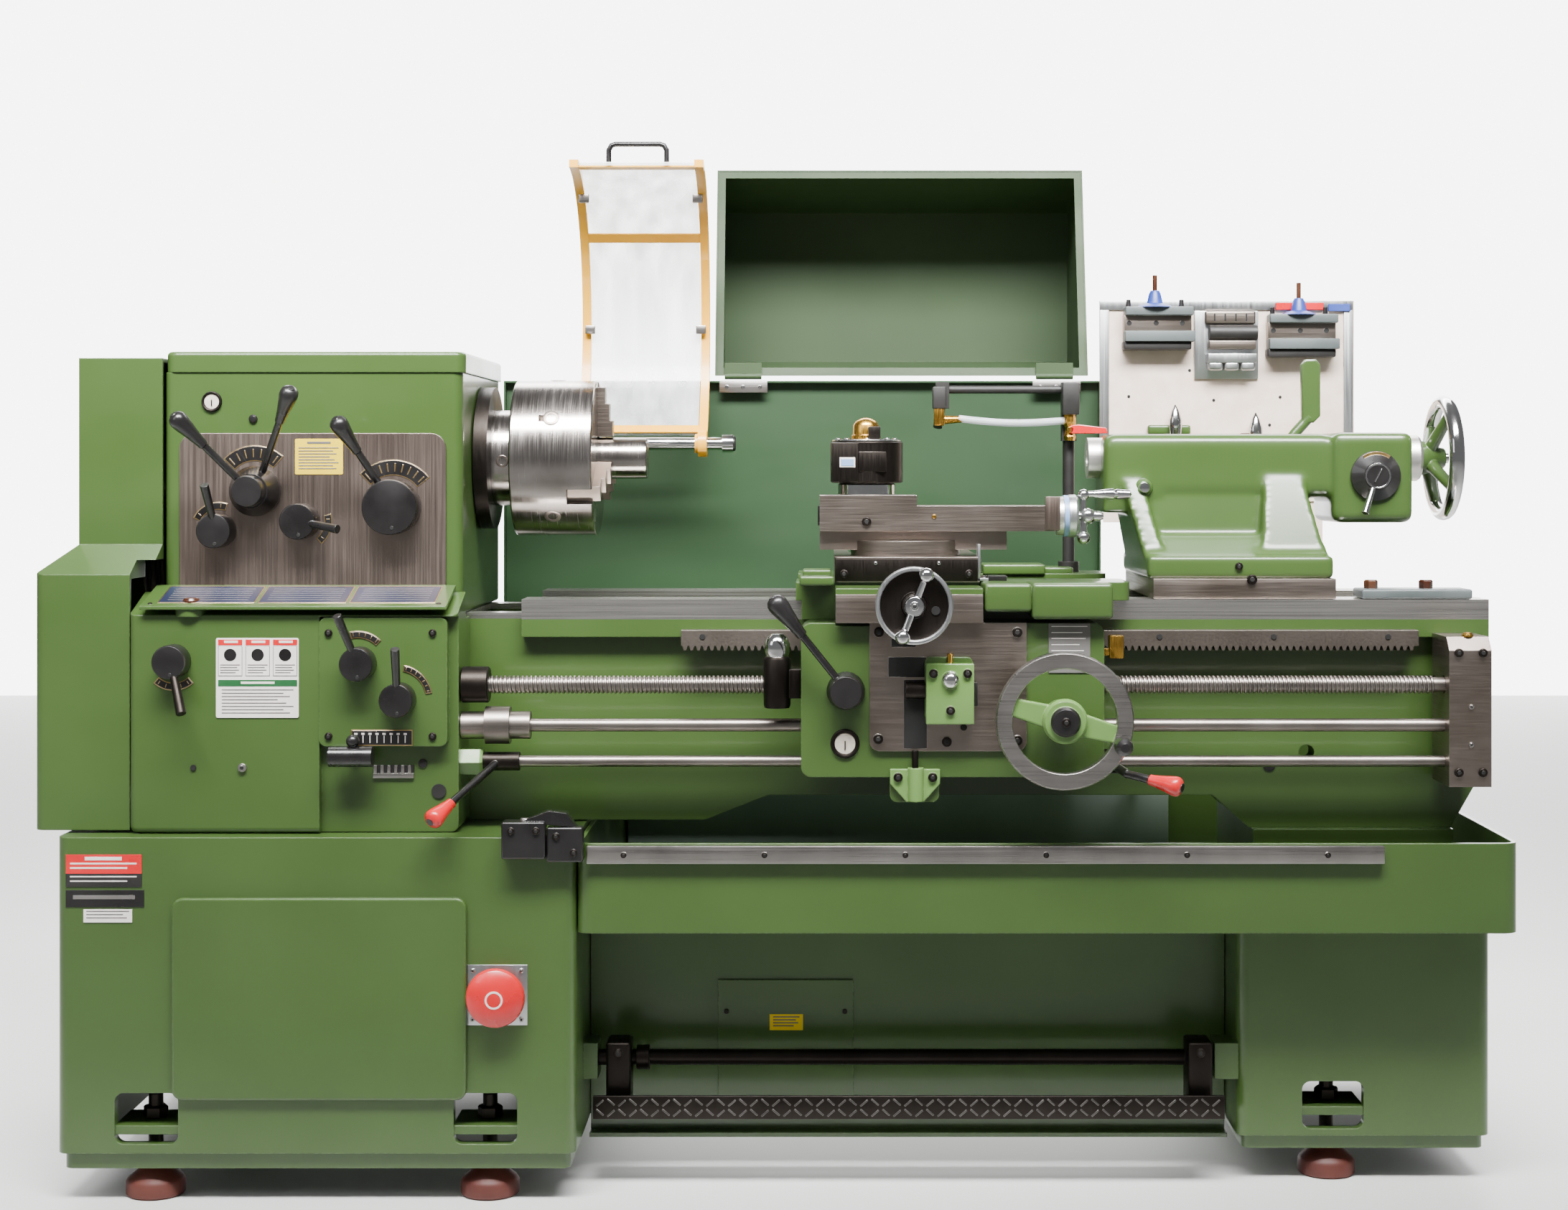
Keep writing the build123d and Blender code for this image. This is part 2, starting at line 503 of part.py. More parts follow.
PIPE_X, PIPE_Y = 446, 10
with BuildPart() as coolant_pipe:
    shaft_z(PIPE_X, PIPE_Y, (SADDLE_Z[1], 852), 16)
    shaft_z(PIPE_X, PIPE_Y, (SADDLE_Z[1], 1040), 9)
    block((PIPE_X - 11, PIPE_X + 11), (PIPE_Y - 11, PIPE_Y + 11), (1037, 1077))
    block((PIPE_X - 11, PIPE_X + 11), (PIPE_Y - 11, PIPE_Y + 11), (1077, 1127))
    shaft_x((252, PIPE_X), PIPE_Y, 1116, 6)
    block((242, 262), (PIPE_Y - 10, PIPE_Y + 10), (1087, 1127))
    bar((250, PIPE_Y, 1090), (244, PIPE_Y - 12, 1058), 7)
save(coolant_pipe, "coolant_pipe")

with BuildPart() as coolant_tap:
    shaft_y(PIPE_X, (PIPE_Y - 24, PIPE_Y - 11 - GAP), 1056, 7)
    bar((PIPE_X, PIPE_Y - 19, 1056), (502, PIPE_Y - 24, 1048), 4.5)
save(coolant_tap, "coolant_tap")

with BuildPart() as cross_slide:
    top_slab((85, 289), (-350, 60), (SADDLE_Z[1] + GAP, 871), 6)
    for slot_x in (112, 262):
        block((slot_x - 6, slot_x + 6), (-140, 61), (860, 872), Mode.SUBTRACT)
save(cross_slide, "cross_slide")

with BuildPart() as cross_handwheel:
    shaft_y(191, (-500, -385), 811, 9)
    shaft_y(191, (-468, -438 - GAP), 811, 30)
    spoked_wheel((191, 811), -492, 52, 7, 20, (-506, -468), (90, 210, 330), None)
    bar((143, -498, 797), (239, -498, 825), 5)
    for end in (-1, 1):
        ball((191 + end * 48, -498, 811 + end * 14), 9)
save(cross_handwheel, "cross_handwheel")

with BuildPart() as compound_swivel:
    shaft_z(COMPOUND_X, COMPOUND_Y, (871 + GAP, 893), 78)
    block((64, 328), (COMPOUND_Y - 36, COMPOUND_Y + 36), (880, 906))
save(compound_swivel, "compound_swivel")

with BuildPart() as top_slide:
    block(TOP_SLIDE_X, (COMPOUND_Y - 50, COMPOUND_Y + 50), TOP_SLIDE_Z)
    block((201, 402), (COMPOUND_Y - 51, COMPOUND_Y + 51), (942, 958), Mode.SUBTRACT)
    shaft_x((300, 402), COMPOUND_Y, CRANK_Z, 8 + FIT, Mode.SUBTRACT)
save(top_slide, "top_slide")

with BuildPart() as compound_crank:
    shaft_x((310, 450), COMPOUND_Y, CRANK_Z, 8)
    shaft_x((401 + GAP, 438), COMPOUND_Y, CRANK_Z, 30)
    ball((447, COMPOUND_Y, CRANK_Z), 14)
    bar((447, COMPOUND_Y - 12, CRANK_Z - 34), (447, COMPOUND_Y + 12, CRANK_Z + 32), 6)
    ball((447, COMPOUND_Y - 12, CRANK_Z - 34), 11)
    ball((447, COMPOUND_Y + 12, CRANK_Z + 32), 10)
    bar((447, COMPOUND_Y + 12, CRANK_Z + 32), (512, COMPOUND_Y + 12, CRANK_Z + 32), 6, 10)
save(compound_crank, "compound_crank")

with BuildPart() as tool_post:
    top_slab((POST_X - 52, POST_X + 52), (COMPOUND_Y - 52, COMPOUND_Y + 52), (974, 1034), 6)
    shaft_z(POST_X, COMPOUND_Y, (957 + GAP, 974), 40)
    shaft_z(POST_X, COMPOUND_Y, (1034, 1048), 26)
    shaft_z(POST_X, COMPOUND_Y, (1048, 1070), 18)
save(tool_post, "tool_post")

# ---- tailstock ---------------------------------------------------------------------------------------------
TAIL_SIDE = ((-285, WAY_Z + 30), (5, WAY_Z + 30), (5, 846), (-60, 900), (-75, 950), (-205, 950), (-222, 900),
             (-262, 872), (-285, 846))
with BuildPart() as tailstock_body:
    block((535, 786), (-300, 20), (WAY_Z + GAP, WAY_Z + 30))
    prism(side_plane(520), TAIL_SIDE, 266)
    side_slab((475, 817), (AXIS_Y - 62, AXIS_Y + 62), (948, 1060), 40)
    side_slab((813, 924), (AXIS_Y - 70, AXIS_Y + 60), (918, 1048), 20)
    shaft_x((474, 790), AXIS_Y, AXIS_Z, 30 + FIT, Mode.SUBTRACT)
    shaft_x((790, 925), AXIS_Y, AXIS_Z, 12 + FIT, Mode.SUBTRACT)
save(tailstock_body, "tailstock_body")

with BuildPart() as quill:
    shaft_x((458, 760), AXIS_Y, AXIS_Z, 30)
    with Locations(Location((457, AXIS_Y, AXIS_Z), (0, 90, 0))):
        Cone(12.2, 9.5, 100, align=BASE, mode=Mode.SUBTRACT)
save(quill, "quill")

with BuildPart() as tailstock_handwheel:
    shaft_x((800, 1000), AXIS_Y, AXIS_Z, 12)
    shaft_x((925, 962), AXIS_Y, AXIS_Z, 43)
    shaft_x((962, 1000), AXIS_Y, AXIS_Z, 24)
    rim_ring(Plane(origin=(988, AXIS_Y, AXIS_Z), z_dir=(1, 0, 0)), 92, 10)
    for spoke_angle in (90, 210, 330):
        end_y = AXIS_Y + 80 * cos(radians(spoke_angle))
        end_z = AXIS_Z + 80 * sin(radians(spoke_angle))
        bar((985, AXIS_Y, AXIS_Z), (988, end_y, end_z), 8)
save(tailstock_handwheel, "tailstock_handwheel")

with BuildPart() as tailstock_clamp_lever:
    shaft_y(772, (AXIS_Y + 62 + GAP, -28), 1030, 15)
    bar((772, -44, 1030), (812, -36, 1150), 7, 10)
    ball((812, -36, 1150), 10 * ROUND_END)
save(tailstock_clamp_lever, "tailstock_clamp_lever")

with BuildPart() as tailstock_knob:
    shaft_y(867, (-226, AXIS_Y - 70 - GAP), 984, 36)
    shaft_y(867, (-234, -226), 984, 18)
    bar((867, -230, 984), (843, -240, 928), 5)
    ball((843, -240, 928), 8)
save(tailstock_knob, "tailstock_knob")

# ---- guards ------------------------------------------------------------------------------------------------
with BuildPart() as splash_guard:
    prism(front_plane(234), ((-450, 496), (-262, 496), (-262, 490), (519, 490), (519, 1137), (-450, 1137)), 3)
    block((-450, 519), (216, 234), (1134, 1137))
    block((516, 519), (216, 234), (490, 1137))
    block((-450, -447), (216, 234), (496, 1137))
    for stay_x in (-200, 440):
        block((stay_x, stay_x + 30), (234, 330), (487, 493))
save(splash_guard, "splash_guard")

RIM_FOOT, RIM_TOP = (HINGE_Y, 1146), (325, 1492)
RIM_LENGTH = ((RIM_TOP[0] - RIM_FOOT[0]) ** 2 + (RIM_TOP[1] - RIM_FOOT[1]) ** 2) ** 0.5
RIM_WAY = ((RIM_TOP[0] - RIM_FOOT[0]) / RIM_LENGTH, (RIM_TOP[1] - RIM_FOOT[1]) / RIM_LENGTH)
RIM_WIDTH = 14


def rim_point(along, inwards):
    """Point on the hood's leaning mouth, in Y and Z: so far up the rim and so far behind it."""
    return (RIM_FOOT[0] + RIM_WAY[0] * along + RIM_WAY[1] * inwards,
            RIM_FOOT[1] + RIM_WAY[1] * along - RIM_WAY[0] * inwards)


def rim_strip(x, along):
    """Flat strip of the flange round the mouth."""
    corners = (rim_point(along[0], 0.6), rim_point(along[1], 0.6), rim_point(along[1], 3.6), rim_point(along[0], 3.6))
    prism(side_plane(x[0]), corners, x[1] - x[0])


HOOD_SIDE = (RIM_FOOT, RIM_TOP, (BACK, 1446), (BACK, 1180))
HOOD_HOLLOW = ((192, 1144.7), (BACK - 3, 1182.7), (BACK - 3, 1443.6), (280, 1498.1))
with BuildPart() as hood:
    prism(side_plane(HOOD_X[0]), HOOD_SIDE, HOOD_X[1] - HOOD_X[0])
    prism(side_plane(HOOD_X[0] + 3), HOOD_HOLLOW, HOOD_X[1] - HOOD_X[0] - 6, mode=Mode.SUBTRACT)
    for strip_x in ((HOOD_X[0] + 1, HOOD_X[0] + RIM_WIDTH), (HOOD_X[1] - RIM_WIDTH, HOOD_X[1] - 1)):
        rim_strip(strip_x, (1, RIM_LENGTH - 1.5))
    for strip_along in ((1, RIM_WIDTH), (RIM_LENGTH - RIM_WIDTH, RIM_LENGTH - 1.5)):
        rim_strip(inset(HOOD_X, 1.5), strip_along)
    for leaf_x in (-92, 415):
        shaft_x((leaf_x, leaf_x + 60), HINGE_Y, HINGE_Z + 4, 5)
        block((leaf_x, leaf_x + 60), (HINGE_Y - 3, HINGE_Y + 1), (HINGE_Z + 3, HINGE_Z + 26))
save(hood, "hood")

with BuildPart() as guard_rod:
    block((-492, HEAD_X[1] - 2), (HEAD_Y[1] + 3, GUARD_ROD_Y + 26), (GUARD_ROD_Z - 28, GUARD_ROD_Z + 28))
    shaft_x((HEAD_X[1] - 3, -73), GUARD_ROD_Y, GUARD_ROD_Z, GUARD_ROD_R)
    shaft_x((-90, -73), GUARD_ROD_Y, GUARD_ROD_Z, 14)
save(guard_rod, "guard_rod")


def guard_sector(x, radii, angles):
    """Slice of the guard's curved wall."""
    with BuildSketch(side_plane(x[0])) as sector:
        with BuildLine():
            edges = []
            for radius in radii:
                edges.append(CenterArc(GUARD_CENTRE, radius, angles[0], angles[1] - angles[0]))
            Line(edges[0] @ 0, edges[1] @ 0)
            Line(edges[0] @ 1, edges[1] @ 1)
        make_face()
    extrude(sector.sketch, amount=x[1] - x[0])


with BuildPart() as guard_frame:
    for side_x in ((GUARD_X[0], GUARD_X[0] + 14), (GUARD_X[1] - 14, GUARD_X[1])):
        guard_sector(side_x, (GUARD_R - 6, GUARD_R + 6), GUARD_ANGLES)
        shaft_x(side_x, GUARD_ROD_Y, GUARD_ROD_Z, 21)
    for bar_angle in (-49, 34, 80):
        guard_sector(inset(GUARD_X, 5), (GUARD_R - 5, GUARD_R - 2.3), (bar_angle, bar_angle + 4))
    shaft_x((GUARD_X[0] - 1, GUARD_X[1] + 1), GUARD_ROD_Y, GUARD_ROD_Z, GUARD_ROD_R + FIT, Mode.SUBTRACT)
save(guard_frame, "guard_frame")

with BuildPart() as guard_window:
    guard_sector(inset(GUARD_X, 15), (GUARD_R - 2, GUARD_R + 2), inset(GUARD_ANGLES, 1))
save(guard_window, "guard_window")

with BuildPart() as tool_board:
    block((514, 924), (190, 193), (942, 1265))
    block((520, 560), (190, 193), (908, 942))
    for post_x in (570, 850):
        block((post_x, post_x + 24), (193, 205), (PAD_TOP + 1, 1240))
        block((post_x, post_x + 24), (193, 330), (PAD_TOP + 1, PAD_TOP + 7))
save(tool_board, "tool_board")

# ---- controls at the floor and on the pedestal -------------------------------------------------------------
with BuildPart() as estop_button:
    shaft_y(-372, (-470, -447), 282, 13)
    shaft_y(-372, (-476, -462), 282, 40)
    fillet(estop_button.edges().group_by(Axis.Y)[0], 10)
save(estop_button, "estop_button")

with BuildPart() as foot_brake:
    shaft_x((-262, 630), BRAKE_Y, BRAKE_Z, 11)
    block((-249, 624), (-372, -318), (96, 102))
    block((-249, 624), (-374, -368), (96, 128))
    for arm_x in (-233, 577):
        block((arm_x, arm_x + 34), (-350, -298), (100, 196))
save(foot_brake, "foot_brake")
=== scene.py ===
# %% [markdown]
# # Dressing a metal lathe over its engineering frame
#
# The frame comes from the CAD side: a node for each real part, at its real place, in metres.
# This lesson gives those parts their finishes, and models the small or soft-edged pieces that
# a CAD solid leaves out: castings with blended corners, knobs, grips, labels, screws and belts.

# %% Load the frame
import math

import bpy
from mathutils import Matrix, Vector


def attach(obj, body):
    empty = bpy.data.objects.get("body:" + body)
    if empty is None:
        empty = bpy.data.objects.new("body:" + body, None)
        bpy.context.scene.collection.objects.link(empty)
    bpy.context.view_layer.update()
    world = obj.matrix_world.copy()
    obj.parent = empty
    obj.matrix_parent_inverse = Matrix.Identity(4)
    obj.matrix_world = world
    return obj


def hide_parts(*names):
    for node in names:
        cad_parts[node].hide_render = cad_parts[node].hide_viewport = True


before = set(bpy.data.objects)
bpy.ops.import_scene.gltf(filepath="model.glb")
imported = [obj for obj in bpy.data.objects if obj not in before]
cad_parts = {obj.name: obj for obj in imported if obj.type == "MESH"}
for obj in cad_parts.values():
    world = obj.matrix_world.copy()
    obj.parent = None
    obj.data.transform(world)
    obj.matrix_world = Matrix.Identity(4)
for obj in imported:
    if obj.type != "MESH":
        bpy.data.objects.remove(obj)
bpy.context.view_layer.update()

# %% [markdown]
# ## Units and colours
# The drawing is in millimetres and Blender works in metres, so one factor turns one into the other.
# Colours are chosen as the hex codes that a paint chart gives. A shader wants linear light, so a
# single function does that conversion for every colour in the file.

# %% Units and colours
MM = 0.001


def per(size_mm):
    """Texture scale, per metre, of a pattern whose features are this many millimetres across."""
    return 1000.0 / size_mm


def linear(code):
    """A hex colour as the linear RGBA that a shader socket takes."""
    shares = [int(code[i:i + 2], 16) / 255 for i in (1, 3, 5)]
    light = [s / 12.92 if s <= 0.04045 else ((s + 0.055) / 1.055) ** 2.4 for s in shares]
    return (*light, 1.0)


print("mid green in linear light:", [round(v, 3) for v in linear("#7f9a63")])

# %% [markdown]
# ## One function that adds a node
# A node graph is easier to read when each line adds one node with its settings and its wires.

# %% Node helpers
def add(tree, kind, inputs=None, links=None, **settings):
    """Adds a node: settings are its properties, inputs its socket values, links the sockets that feed it."""
    node = tree.nodes.new("ShaderNode" + kind)
    for key, value in settings.items():
        setattr(node, key, value)
    for key, value in (inputs or {}).items():
        node.inputs[key].default_value = value
    for key, source in (links or {}).items():
        tree.links.new(source, node.inputs[key])
    return node


def new_material(name):
    """An empty node material, its tree, and its Principled shader wired to the output."""
    material = bpy.data.materials.new(name)
    material.use_nodes = True
    tree = material.node_tree
    tree.nodes.clear()
    shader = add(tree, "BsdfPrincipled")
    add(tree, "OutputMaterial", links={"Surface": shader.outputs[0]})
    return material, tree, shader


def noise(tree, size_mm, detail=3.0):
    """Noise in object coordinates with features of size_mm, one number or one for each axis."""
    place = add(tree, "TexCoord")
    sizes = size_mm if isinstance(size_mm, tuple) else (size_mm,) * 3
    stretch = add(tree, "Mapping", {"Scale": tuple(per(s) for s in sizes)},
        {"Vector": place.outputs["Object"]})
    return add(tree, "TexNoise", {"Scale": 1.0, "Detail": detail},
        {"Vector": stretch.outputs[0]}).outputs[0]


def spread(tree, source, low_in, high_in, low_out, high_out):
    """Maps a 0 to 1 signal to a range, clamped."""
    inputs = {1: low_in, 2: high_in, 3: low_out, 4: high_out}
    return add(tree, "MapRange", inputs, {0: source}).outputs[0]


def blend(tree, factor, first, second):
    """Mixes two colours. Each is a hex code or a socket, and factor is a socket."""
    node = add(tree, "Mix", data_type="RGBA")
    tree.links.new(factor, node.inputs[0])
    for index, colour in ((6, first), (7, second)):
        if isinstance(colour, str):
            node.inputs[index].default_value = linear(colour)
        else:
            tree.links.new(colour, node.inputs[index])
    return node.outputs[2]


def edges(tree, radius_mm):
    """A softened normal for sharp edges, and a mask that is 1 on an edge and 0 on a flat face."""
    soft = add(tree, "Bevel", {"Radius": radius_mm * MM}, samples=4)
    flat = add(tree, "NewGeometry")
    dot = add(tree, "VectorMath", {}, {0: soft.outputs[0], 1: flat.outputs["Normal"]},
        operation="DOT_PRODUCT")
    return soft.outputs[0], spread(tree, dot.outputs["Value"], 0.99, 0.80, 0.0, 1.0)


# %% [markdown]
# ## Machine enamel
# A lathe is sprayed with a thick gloss enamel over filled iron castings. Up close it has orange peel a few
# millimetres across, slow changes of tone where it was sprayed or wiped, and edges where hands and chips have
# thinned it. Noise gives the first two. The edges are painted lighter: chip spots stand for that wear, and a
# fainter lightening all along them is a painted highlight. The bevel node finds the edges by comparing a
# softened normal with the true one, which works on any mesh, even one made of loose triangles.

# %% Enamel factory
def enamel(name, base, lit, edge_wear_and_highlight, rough=0.3, soft_mm=2.5, coat=0.35):
    """Gloss enamel between two close tones, lighter along its edges: chips of wear, and a painted highlight."""
    material, tree, shader = new_material(name)
    normal, edge = edges(tree, soft_mm)
    cloud = noise(tree, 220.0, 4.0)
    smear = noise(tree, (180.0, 180.0, 70.0), 3.0)
    chips = noise(tree, 5.0, 6.0)
    tone = blend(tree, spread(tree, cloud, 0.3, 0.7, 0.0, 1.0), base, lit)
    # Edges are painted lighter: faintly all along as a painted highlight, more strongly in chip spots of wear.
    chips_and_edge_highlight = add(tree, "Math", {}, {0: edge, 1: spread(tree, chips, 0.45, 0.6, 0.1, 0.75)},
        operation="MULTIPLY")
    tree.links.new(blend(tree, chips_and_edge_highlight.outputs[0], tone, edge_wear_and_highlight), shader.inputs["Base Color"])
    tree.links.new(spread(tree, smear, 0.3, 0.7, rough - 0.02, rough + 0.06), shader.inputs["Roughness"])
    peel = add(tree, "Bump", {"Strength": 0.25, "Distance": 0.12 * MM},
        {"Height": noise(tree, 4.0, 2.0), "Normal": normal})
    tree.links.new(peel.outputs[0], shader.inputs["Normal"])
    shader.inputs["Coat Weight"].default_value = coat
    shader.inputs["Coat Roughness"].default_value = 0.12
    return material


GREEN = enamel("machine_green_enamel", "#3a5224", "#40592a", "#6a8850")
SHEET_GREEN = enamel("sheet_green_enamel", "#293d1e", "#2f4522", "#41592f", rough=0.6, soft_mm=0.6,
    coat=0.0)
DEEP_GREEN = enamel("guard_green_enamel", "#163415", "#1a3a18", "#2e4c28", rough=0.5, soft_mm=0.6, coat=0.1)
PALE_GREEN = enamel("light_green_enamel", "#5f8342", "#6a8e4d", "#9ab57c")
YELLOW = enamel("guard_yellow_enamel", "#f0a814", "#f6b524", "#f8d070", rough=0.35, soft_mm=1.5)
HAMMERED = enamel("hammered_grey_enamel", "#7d8a84", "#8b9892", "#b9c2bd", rough=0.4)
print("enamels:", [m.name for m in (GREEN, SHEET_GREEN, DEEP_GREEN, PALE_GREEN, YELLOW, HAMMERED)])

# %% [markdown]
# ## Bare metals
# Ground, turned and brushed steel differ by the direction of their marks. A noise that is long along
# the tool path and very short across it draws those marks, and drives both roughness and a tiny bump.
# Ground ways are marked along the bed, turned parts in rings about the spindle, plates up and down.

# %% Metal factory
def metal(name, dark, light, rough, marks, depth_mm=0.02, patch_mm=90.0, soft_mm=0.8, edge_wear_and_highlight="#d8d4d0"):
    """Bare metal with tool marks of the given length along each axis, in millimetres."""
    material, tree, shader = new_material(name)
    normal, edge = edges(tree, soft_mm)
    grain = noise(tree, marks, 4.0)
    patch = noise(tree, patch_mm, 4.0)
    tone = blend(tree, spread(tree, patch, 0.3, 0.7, 0.0, 1.0), dark, light)
    # Edges are painted lighter toward the edge colour: partly metal rubbed bright by wear, partly a painted
    # highlight.
    rubbed_and_highlit_edge = spread(tree, edge, 0.0, 1.0, 0.0, 0.5)
    tree.links.new(blend(tree, rubbed_and_highlit_edge, tone, edge_wear_and_highlight), shader.inputs["Base Color"])
    mixed = add(tree, "Math", {2: 0.0}, {0: grain, 1: spread(tree, patch, 0.0, 1.0, 0.75, 1.25)},
        operation="MULTIPLY")
    tree.links.new(spread(tree, mixed.outputs[0], 0.25, 0.75, rough - 0.08, rough + 0.1),
        shader.inputs["Roughness"])
    bump = add(tree, "Bump", {"Strength": 0.35, "Distance": depth_mm * MM},
        {"Height": grain, "Normal": normal})
    tree.links.new(bump.outputs[0], shader.inputs["Normal"])
    shader.inputs["Metallic"].default_value = 1.0
    return material


GROUND = metal("ground_steel", "#cfcbc6", "#e2dfdb", 0.4, (300.0, 1.2, 1.2))
TURNED = metal("turned_steel", "#9c948e", "#c2bbb6", 0.2, (1.5, 60.0, 60.0), 0.03)
ROD_STEEL = metal("drawn_rod_steel", "#7d756f", "#978f89", 0.36, (300.0, 2.0, 2.0))
BRUSHED = metal("brushed_steel_plate", "#82736a", "#988a81", 0.38, (2.0, 2.0, 120.0), 0.02, patch_mm=160.0)
MILLED = metal("milled_steel", "#85796f", "#9a8f87", 0.36, (80.0, 80.0, 2.0))
CAST = metal("bare_cast_iron", "#5a534c", "#6b645d", 0.55, (3.0, 3.0, 3.0), 0.15, soft_mm=1.5,
    edge_wear_and_highlight="#8b8680")
CHROME = metal("chrome_plate", "#c9c8c8", "#dcdbdb", 0.12, (40.0, 40.0, 40.0), 0.005)
BRASS = metal("brass", "#b98a35", "#d0a24a", 0.25, (1.5, 1.5, 30.0), 0.01, edge_wear_and_highlight="#ecd08a")
ALUMINIUM = metal("aluminium_trim", "#b9bbbd", "#cccdce", 0.34, (2.0, 2.0, 150.0))
STAINLESS = metal("stainless_strip", "#a09a96", "#b8b3af", 0.3, (200.0, 1.5, 1.5))
BLACK_OXIDE = metal("black_oxide_steel", "#2b2724", "#37322f", 0.42, (1.5, 25.0, 25.0), edge_wear_and_highlight="#6b6561")
print("metals:", len([m for m in bpy.data.materials if m.name.count("steel")]),
    "steels, and brass, chrome and iron")

# %% [markdown]
# ## Plastics, rubber, clear sheet and printed plates
# Moulded knobs are near black with a soft gloss. The splash window is polycarbonate that has been wiped
# for years, so most light passes and a haze of fine scratches catches the rest. Printed plates are
# plain tones with a little dirt.

# %% Moulded and printed factory
def moulded(name, base, lit, rough, size_mm=8.0, depth_mm=0.05, coat=0.0, patch_mm=60.0):
    """Moulded or printed stuff: two close tones, a patchy shine and a fine skin."""
    material, tree, shader = new_material(name)
    normal, edge = edges(tree, 0.8)
    patch = spread(tree, noise(tree, patch_mm, 5.0), 0.35, 0.65, 0.0, 1.0)
    tone = blend(tree, patch, base, lit)
    # Edges are blended toward the lighter tone: a painted highlight.
    tree.links.new(blend(tree, spread(tree, edge, 0.0, 1.0, 0.0, 0.35), tone, lit),
        shader.inputs["Base Color"])
    tree.links.new(spread(tree, patch, 0.0, 1.0, rough - 0.05, rough + 0.08), shader.inputs["Roughness"])
    skin = add(tree, "Bump", {"Strength": 0.3, "Distance": depth_mm * MM},
        {"Height": noise(tree, size_mm, 3.0), "Normal": normal})
    tree.links.new(skin.outputs[0], shader.inputs["Normal"])
    shader.inputs["Coat Weight"].default_value = coat
    return material


BLACK = moulded("black_phenolic_plastic", "#141212", "#1d1b1b", 0.3, coat=0.3)
MATTE_BLACK = moulded("matte_black_plastic", "#1a1817", "#232120", 0.5, size_mm=1.5)
RUBBER = moulded("black_rubber", "#1c1b1a", "#262524", 0.6, size_mm=2.0)
RED = moulded("red_plastic", "#c8141c", "#d91f26", 0.3, coat=0.4)
FOOT_RED = moulded("dark_red_rubber", "#4b2019", "#5a2a20", 0.55)
BOARD = moulded("cream_laminate_board", "#e3cdbd", "#ecd9ca", 0.45, patch_mm=25.0)
WHITE = moulded("white_printed_label", "#e6dfd9", "#efe9e4", 0.4)
NAVY = moulded("navy_printed_chart", "#1b2036", "#272c42", 0.35)
GOLD = metal("gold_print", "#b3925a", "#c9a96e", 0.35, (5.0, 5.0, 5.0), 0.005)
LABEL_YELLOW = moulded("yellow_printed_label", "#e8c60a", "#f0d018", 0.4)
PRINT_GREY = moulded("grey_print_ink", "#5d5a58", "#6a6765", 0.5)
PRINT_GREEN = moulded("green_print_ink", "#17522a", "#1d5c31", 0.45)
DIAL_BLUE = moulded("blue_dial_band", "#7f9fce", "#8fadd6", 0.35)
BROWN = moulded("brown_plastic_cap", "#3c1d10", "#52301c", 0.3, coat=0.4)
MOTOR_GREY = moulded("grey_motor_paint", "#4e5555", "#5a6161", 0.45)
# A near-black finish of painted shade: flat discs and strips of it stand for holes, sockets and slots. It also
# draws the real dark level mark in an oil sight.
HOLE_SHADE_AND_MARK = moulded("painted_hole_shade_and_mark", "#0b0a09", "#131110", 0.7)
print("moulded and printed:", len(bpy.data.materials), "materials so far")

# %% [markdown]
# ## Clear sheet and clear hose
# A clear plastic needs no refraction to read well: a shader that is mostly transparent with a thin
# glossy skin is quiet, and the haze is a stretched noise along the wiping direction.

# %% Clear factory
def clear(name, tint, haze, marks):
    """A clear plastic with a haze of fine wiping marks, mostly see-through."""
    material, tree, shader = new_material(name)
    wiped = noise(tree, marks, 6.0)
    shader.inputs["Base Color"].default_value = linear(tint)
    tree.links.new(spread(tree, wiped, 0.3, 0.75, haze, haze + 0.3), shader.inputs["Alpha"])
    tree.links.new(spread(tree, wiped, 0.3, 0.7, 0.08, 0.3), shader.inputs["Roughness"])
    return material


CLEAR = clear("clear_polycarbonate", "#e8ecec", 0.2, (30.0, 30.0, 200.0))
HOSE = clear("clear_vinyl_hose", "#d5dade", 0.5, (60.0, 3.0, 3.0))
GLASS = clear("oil_sight_glass", "#e6dccb", 0.75, (10.0, 10.0, 10.0))
print("clear plastics:", CLEAR.name, HOSE.name, GLASS.name)

# %% [markdown]
# ## The bed: paint below, ground iron on top
# The bed is one casting that is painted and then ground on its ways, so both finishes belong to one
# node. The height of the point decides which is seen: above the machined line it is bare metal.

# %% Two finishes split by height
def split_by_height(name, below, above, height_mm, axis="Z"):
    """A material that shows one finish below a height and another above it, from copies of both."""
    material = below.copy()
    material.name = name
    tree = material.node_tree
    out = next(n for n in tree.nodes if n.type == "OUTPUT_MATERIAL")
    first = next(n for n in tree.nodes if n.type == "BSDF_PRINCIPLED")
    source = next(n for n in above.node_tree.nodes if n.type == "BSDF_PRINCIPLED")
    second = add(tree, "BsdfPrincipled")
    for key in ("Base Color", "Metallic", "Roughness", "Coat Weight"):
        second.inputs[key].default_value = source.inputs[key].default_value
    grain = noise(tree, (300.0, 1.2, 1.2), 4.0)
    tone = blend(tree, noise(tree, 90.0, 4.0), "#c4bfba", "#d9d5d0")
    tree.links.new(tone, second.inputs["Base Color"])
    tree.links.new(spread(tree, grain, 0.25, 0.75, 0.2, 0.4), second.inputs["Roughness"])
    place = add(tree, "TexCoord")
    axes = add(tree, "SeparateXYZ", {}, {0: place.outputs["Object"]})
    step = spread(tree, axes.outputs[axis], (height_mm - 0.5) * MM, (height_mm + 0.5) * MM, 0.0, 1.0)
    join = add(tree, "MixShader", {}, {0: step, 1: first.outputs[0], 2: second.outputs[0]})
    tree.links.new(join.outputs[0], out.inputs["Surface"])
    return material


BED_FINISH = split_by_height("painted_bed_with_ground_ways", GREEN, GROUND, 782.0)
print("bed finish:", BED_FINISH.name)

# %% [markdown]
# ## Finishes on the CAD nodes
# Each node gets the finish of its real part. The list reads like a paint shop's job sheet.

